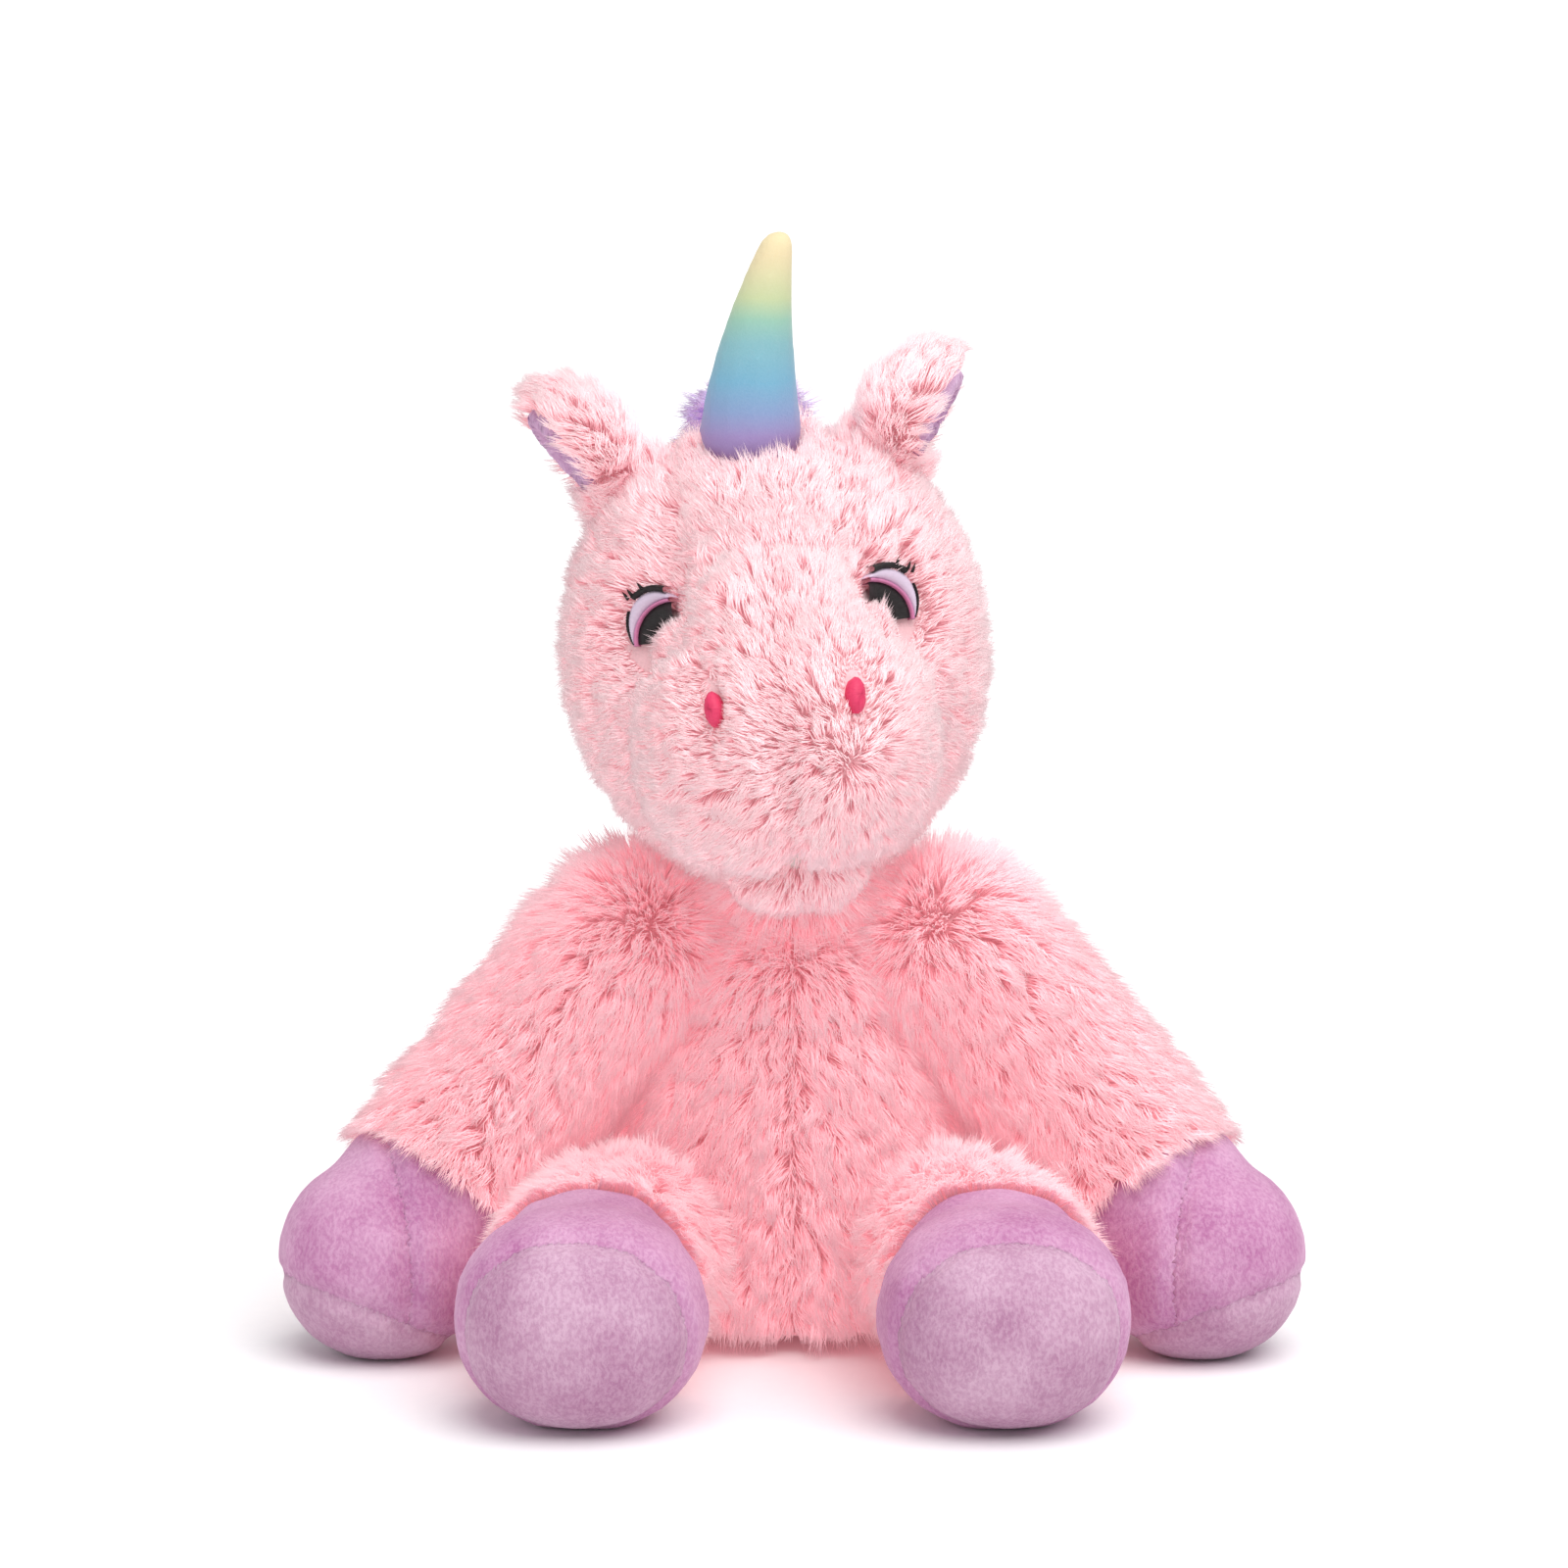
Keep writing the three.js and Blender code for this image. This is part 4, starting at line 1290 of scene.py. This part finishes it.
def make_stage():
    mesh = bpy.data.meshes.new("floor")
    corners = [(x * FLOOR_HALF, y * FLOOR_HALF, FLOOR_LEVEL) for x, y in ((-1, -1), (1, -1), (1, 1), (-1, 1))]
    mesh.from_pydata(corners, [], [(0, 1, 2, 3)])
    shader = Shader("floor_paper", roughness=0.9, specular_ior_level=0.1)
    grain = shader.noise(300)
    mesh.materials.append(shader.wear(base_color=shader.mix(grain, (0.90, 0.90, 0.91), (0.93, 0.93, 0.93))))
    new_object("floor", mesh)

    world = bpy.data.worlds.new("studio")
    world.use_nodes = True
    background = world.node_tree.nodes["Background"]
    background.inputs["Color"].default_value = (1.0, 0.99, 0.985, 1.0)
    background.inputs["Strength"].default_value = ROOM_LIGHT
    bpy.context.scene.world = world
    for name, kind, place, power in LAMPS:
        lamp = bpy.data.lights.new(name, kind)
        lamp.energy = power
        if kind == "SUN":
            lamp.angle = KEY_ANGLE
        else:
            lamp.size = FILL_SIZE
        thing = new_object(name, lamp)
        thing.location = place
        aim = Vector((0, 0, 0.13)) - Vector(place)
        thing.rotation_euler = aim.to_track_quat("-Z", "Y").to_euler()

    camera = bpy.data.cameras.new("camera")
    camera.lens = LENS
    camera.clip_end = 200.0
    thing = new_object("camera", camera)
    ahead = Vector((0, math.cos(VIEW_ELEVATION), -math.sin(VIEW_ELEVATION)))
    thing.location = VIEW_TARGET - ahead * VIEW_DISTANCE
    thing.rotation_euler = ahead.to_track_quat("-Z", "Y").to_euler()
    bpy.context.scene.camera = thing
    bpy.context.scene.view_settings.view_transform = "Standard"


# ---------------------------------------------------------------- operators


class PLUSH_OT_stage(bpy.types.Operator):
    """Pale floor, soft studio light and the camera"""

    bl_idname = "plush.stage"
    bl_label = "Stage"

    def execute(self, context):
        make_stage()
        return {"FINISHED"}


class PLUSH_OT_stuffing(bpy.types.Operator):
    """Filling of the head, torso, horn and legs, and the bean bag in the seat"""

    bl_idname = "plush.stuffing"
    bl_label = "Stuffing"

    def execute(self, context):
        fibre = material("fibrefill", fibre_material, (0.86, 0.85, 0.82))
        beans = material("bean_bag_cloth", fibre_material, (0.72, 0.64, 0.52))
        lumpy("torso_stuffing", "torso", fibre, seed=1)
        lumpy("seat_bean_bag", "torso", beans, seed=2)
        lumpy("neck_fill", "neck", fibre, inset=2 * MM, seed=3)
        lumpy("head_stuffing", "head", fibre, seed=4)
        lumpy("horn_stuffing", "horn", fibre, voxel=1.8 * MM, inset=1.6 * MM, seed=5)
        for word, _ in SIDES:
            lumpy(f"shoulder_fill_{word}", f"shoulder_{word}", fibre, inset=ROOT_INSET, seed=6)
            lumpy(f"hip_fill_{word}", f"hip_{word}", fibre, inset=ROOT_INSET, seed=7)
            for kind in ("front", "hind"):
                lumpy(f"{kind}_leg_{word}_stuffing", f"{kind}_leg_{word}", fibre, seed=8)
        return {"FINISHED"}


class PLUSH_OT_torso(bpy.types.Operator):
    """Torso and neck skins with their pile"""

    bl_idname = "plush.torso"
    bl_label = "Torso"

    def execute(self, context):
        make_torso()
        make_neck()
        return {"FINISHED"}


class PLUSH_OT_legs(bpy.types.Operator):
    """Sleeves and hooves of all four legs"""

    bl_idname = "plush.legs"
    bl_label = "Legs"

    def execute(self, context):
        for index, (word, _) in enumerate(SIDES):
            make_leg("front", word, f"shoulder_fill_{word}", ("outer", "inner", "sole"), 300 + 10 * index)
            make_leg("hind", word, f"hip_fill_{word}", ("upper", "sole"), 400 + 10 * index)
        return {"FINISHED"}


class PLUSH_OT_head(bpy.types.Operator):
    """Head skin with its pile, and the embroidered face"""

    bl_idname = "plush.head"
    bl_label = "Head"

    def execute(self, context):
        make_head()
        make_face()
        return {"FINISHED"}


class PLUSH_OT_ears(bpy.types.Operator):
    """Two cupped ears with velour linings"""

    bl_idname = "plush.ears"
    bl_label = "Ears"

    def execute(self, context):
        for index, (word, _) in enumerate(SIDES):
            make_ear(word, 500 + index)
        return {"FINISHED"}


class PLUSH_OT_horn(bpy.types.Operator):
    """The dyed velour horn"""

    bl_idname = "plush.horn"
    bl_label = "Horn"

    def execute(self, context):
        make_horn()
        return {"FINISHED"}


class PLUSH_OT_mane(bpy.types.Operator):
    """The long purple mane and tail"""

    bl_idname = "plush.mane"
    bl_label = "Mane and tail"

    def execute(self, context):
        length = fur_settings().mane_length
        top = np.array(middle("mane"))

        def splayed(roots):
            flow = np.tile([0.0, 0.5, -0.2], (len(roots), 1))
            flow[:, 0] = np.sign(roots[:, 0] - top[0])
            return flow

        def fringe(roots):
            """Short behind the horn, long down the back of the head."""
            return np.clip(0.28 + (roots[:, 1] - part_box("mane")[0].y) / (40 * MM), 0, 1)

        make_tufts("mane", "head", splayed, length, 600, trim=fringe)
        make_tufts("tail", "tail", lambda roots: np.tile([0.0, 1.0, -0.6], (len(roots), 1)), length, 601)
        return {"FINISHED"}


class PLUSH_PT_panel(bpy.types.Panel):
    """Sizes, colours and the steps that build the toy"""

    bl_idname = "PLUSH_PT_panel"
    bl_label = "Plush Unicorn"
    bl_space_type = "VIEW_3D"
    bl_region_type = "UI"
    bl_category = "Plush"

    def draw(self, context):
        for settings in (context.scene.plush_fur, context.scene.plush_velour):
            box = self.layout.box()
            for name in settings.__annotations__:
                box.prop(settings, name)
        for operator in OPERATORS:
            self.layout.operator(operator.bl_idname)


SETTINGS = (PlushFur, PlushVelour)
OPERATORS = (
    PLUSH_OT_stage,
    PLUSH_OT_stuffing,
    PLUSH_OT_torso,
    PLUSH_OT_legs,
    PLUSH_OT_head,
    PLUSH_OT_ears,
    PLUSH_OT_horn,
    PLUSH_OT_mane,
)


def register():
    for kind in (*SETTINGS, *OPERATORS, PLUSH_PT_panel):
        bpy.utils.register_class(kind)
    bpy.types.Scene.plush_fur = PointerProperty(type=PlushFur)
    bpy.types.Scene.plush_velour = PointerProperty(type=PlushVelour)


def unregister():
    del bpy.types.Scene.plush_velour
    del bpy.types.Scene.plush_fur
    for kind in reversed((*SETTINGS, *OPERATORS, PLUSH_PT_panel)):
        bpy.utils.unregister_class(kind)


def main():
    register()
    for operator in OPERATORS:
        group, name = operator.bl_idname.split(".")
        getattr(getattr(bpy.ops, group), name)()


if __name__ == "__main__":
    main()
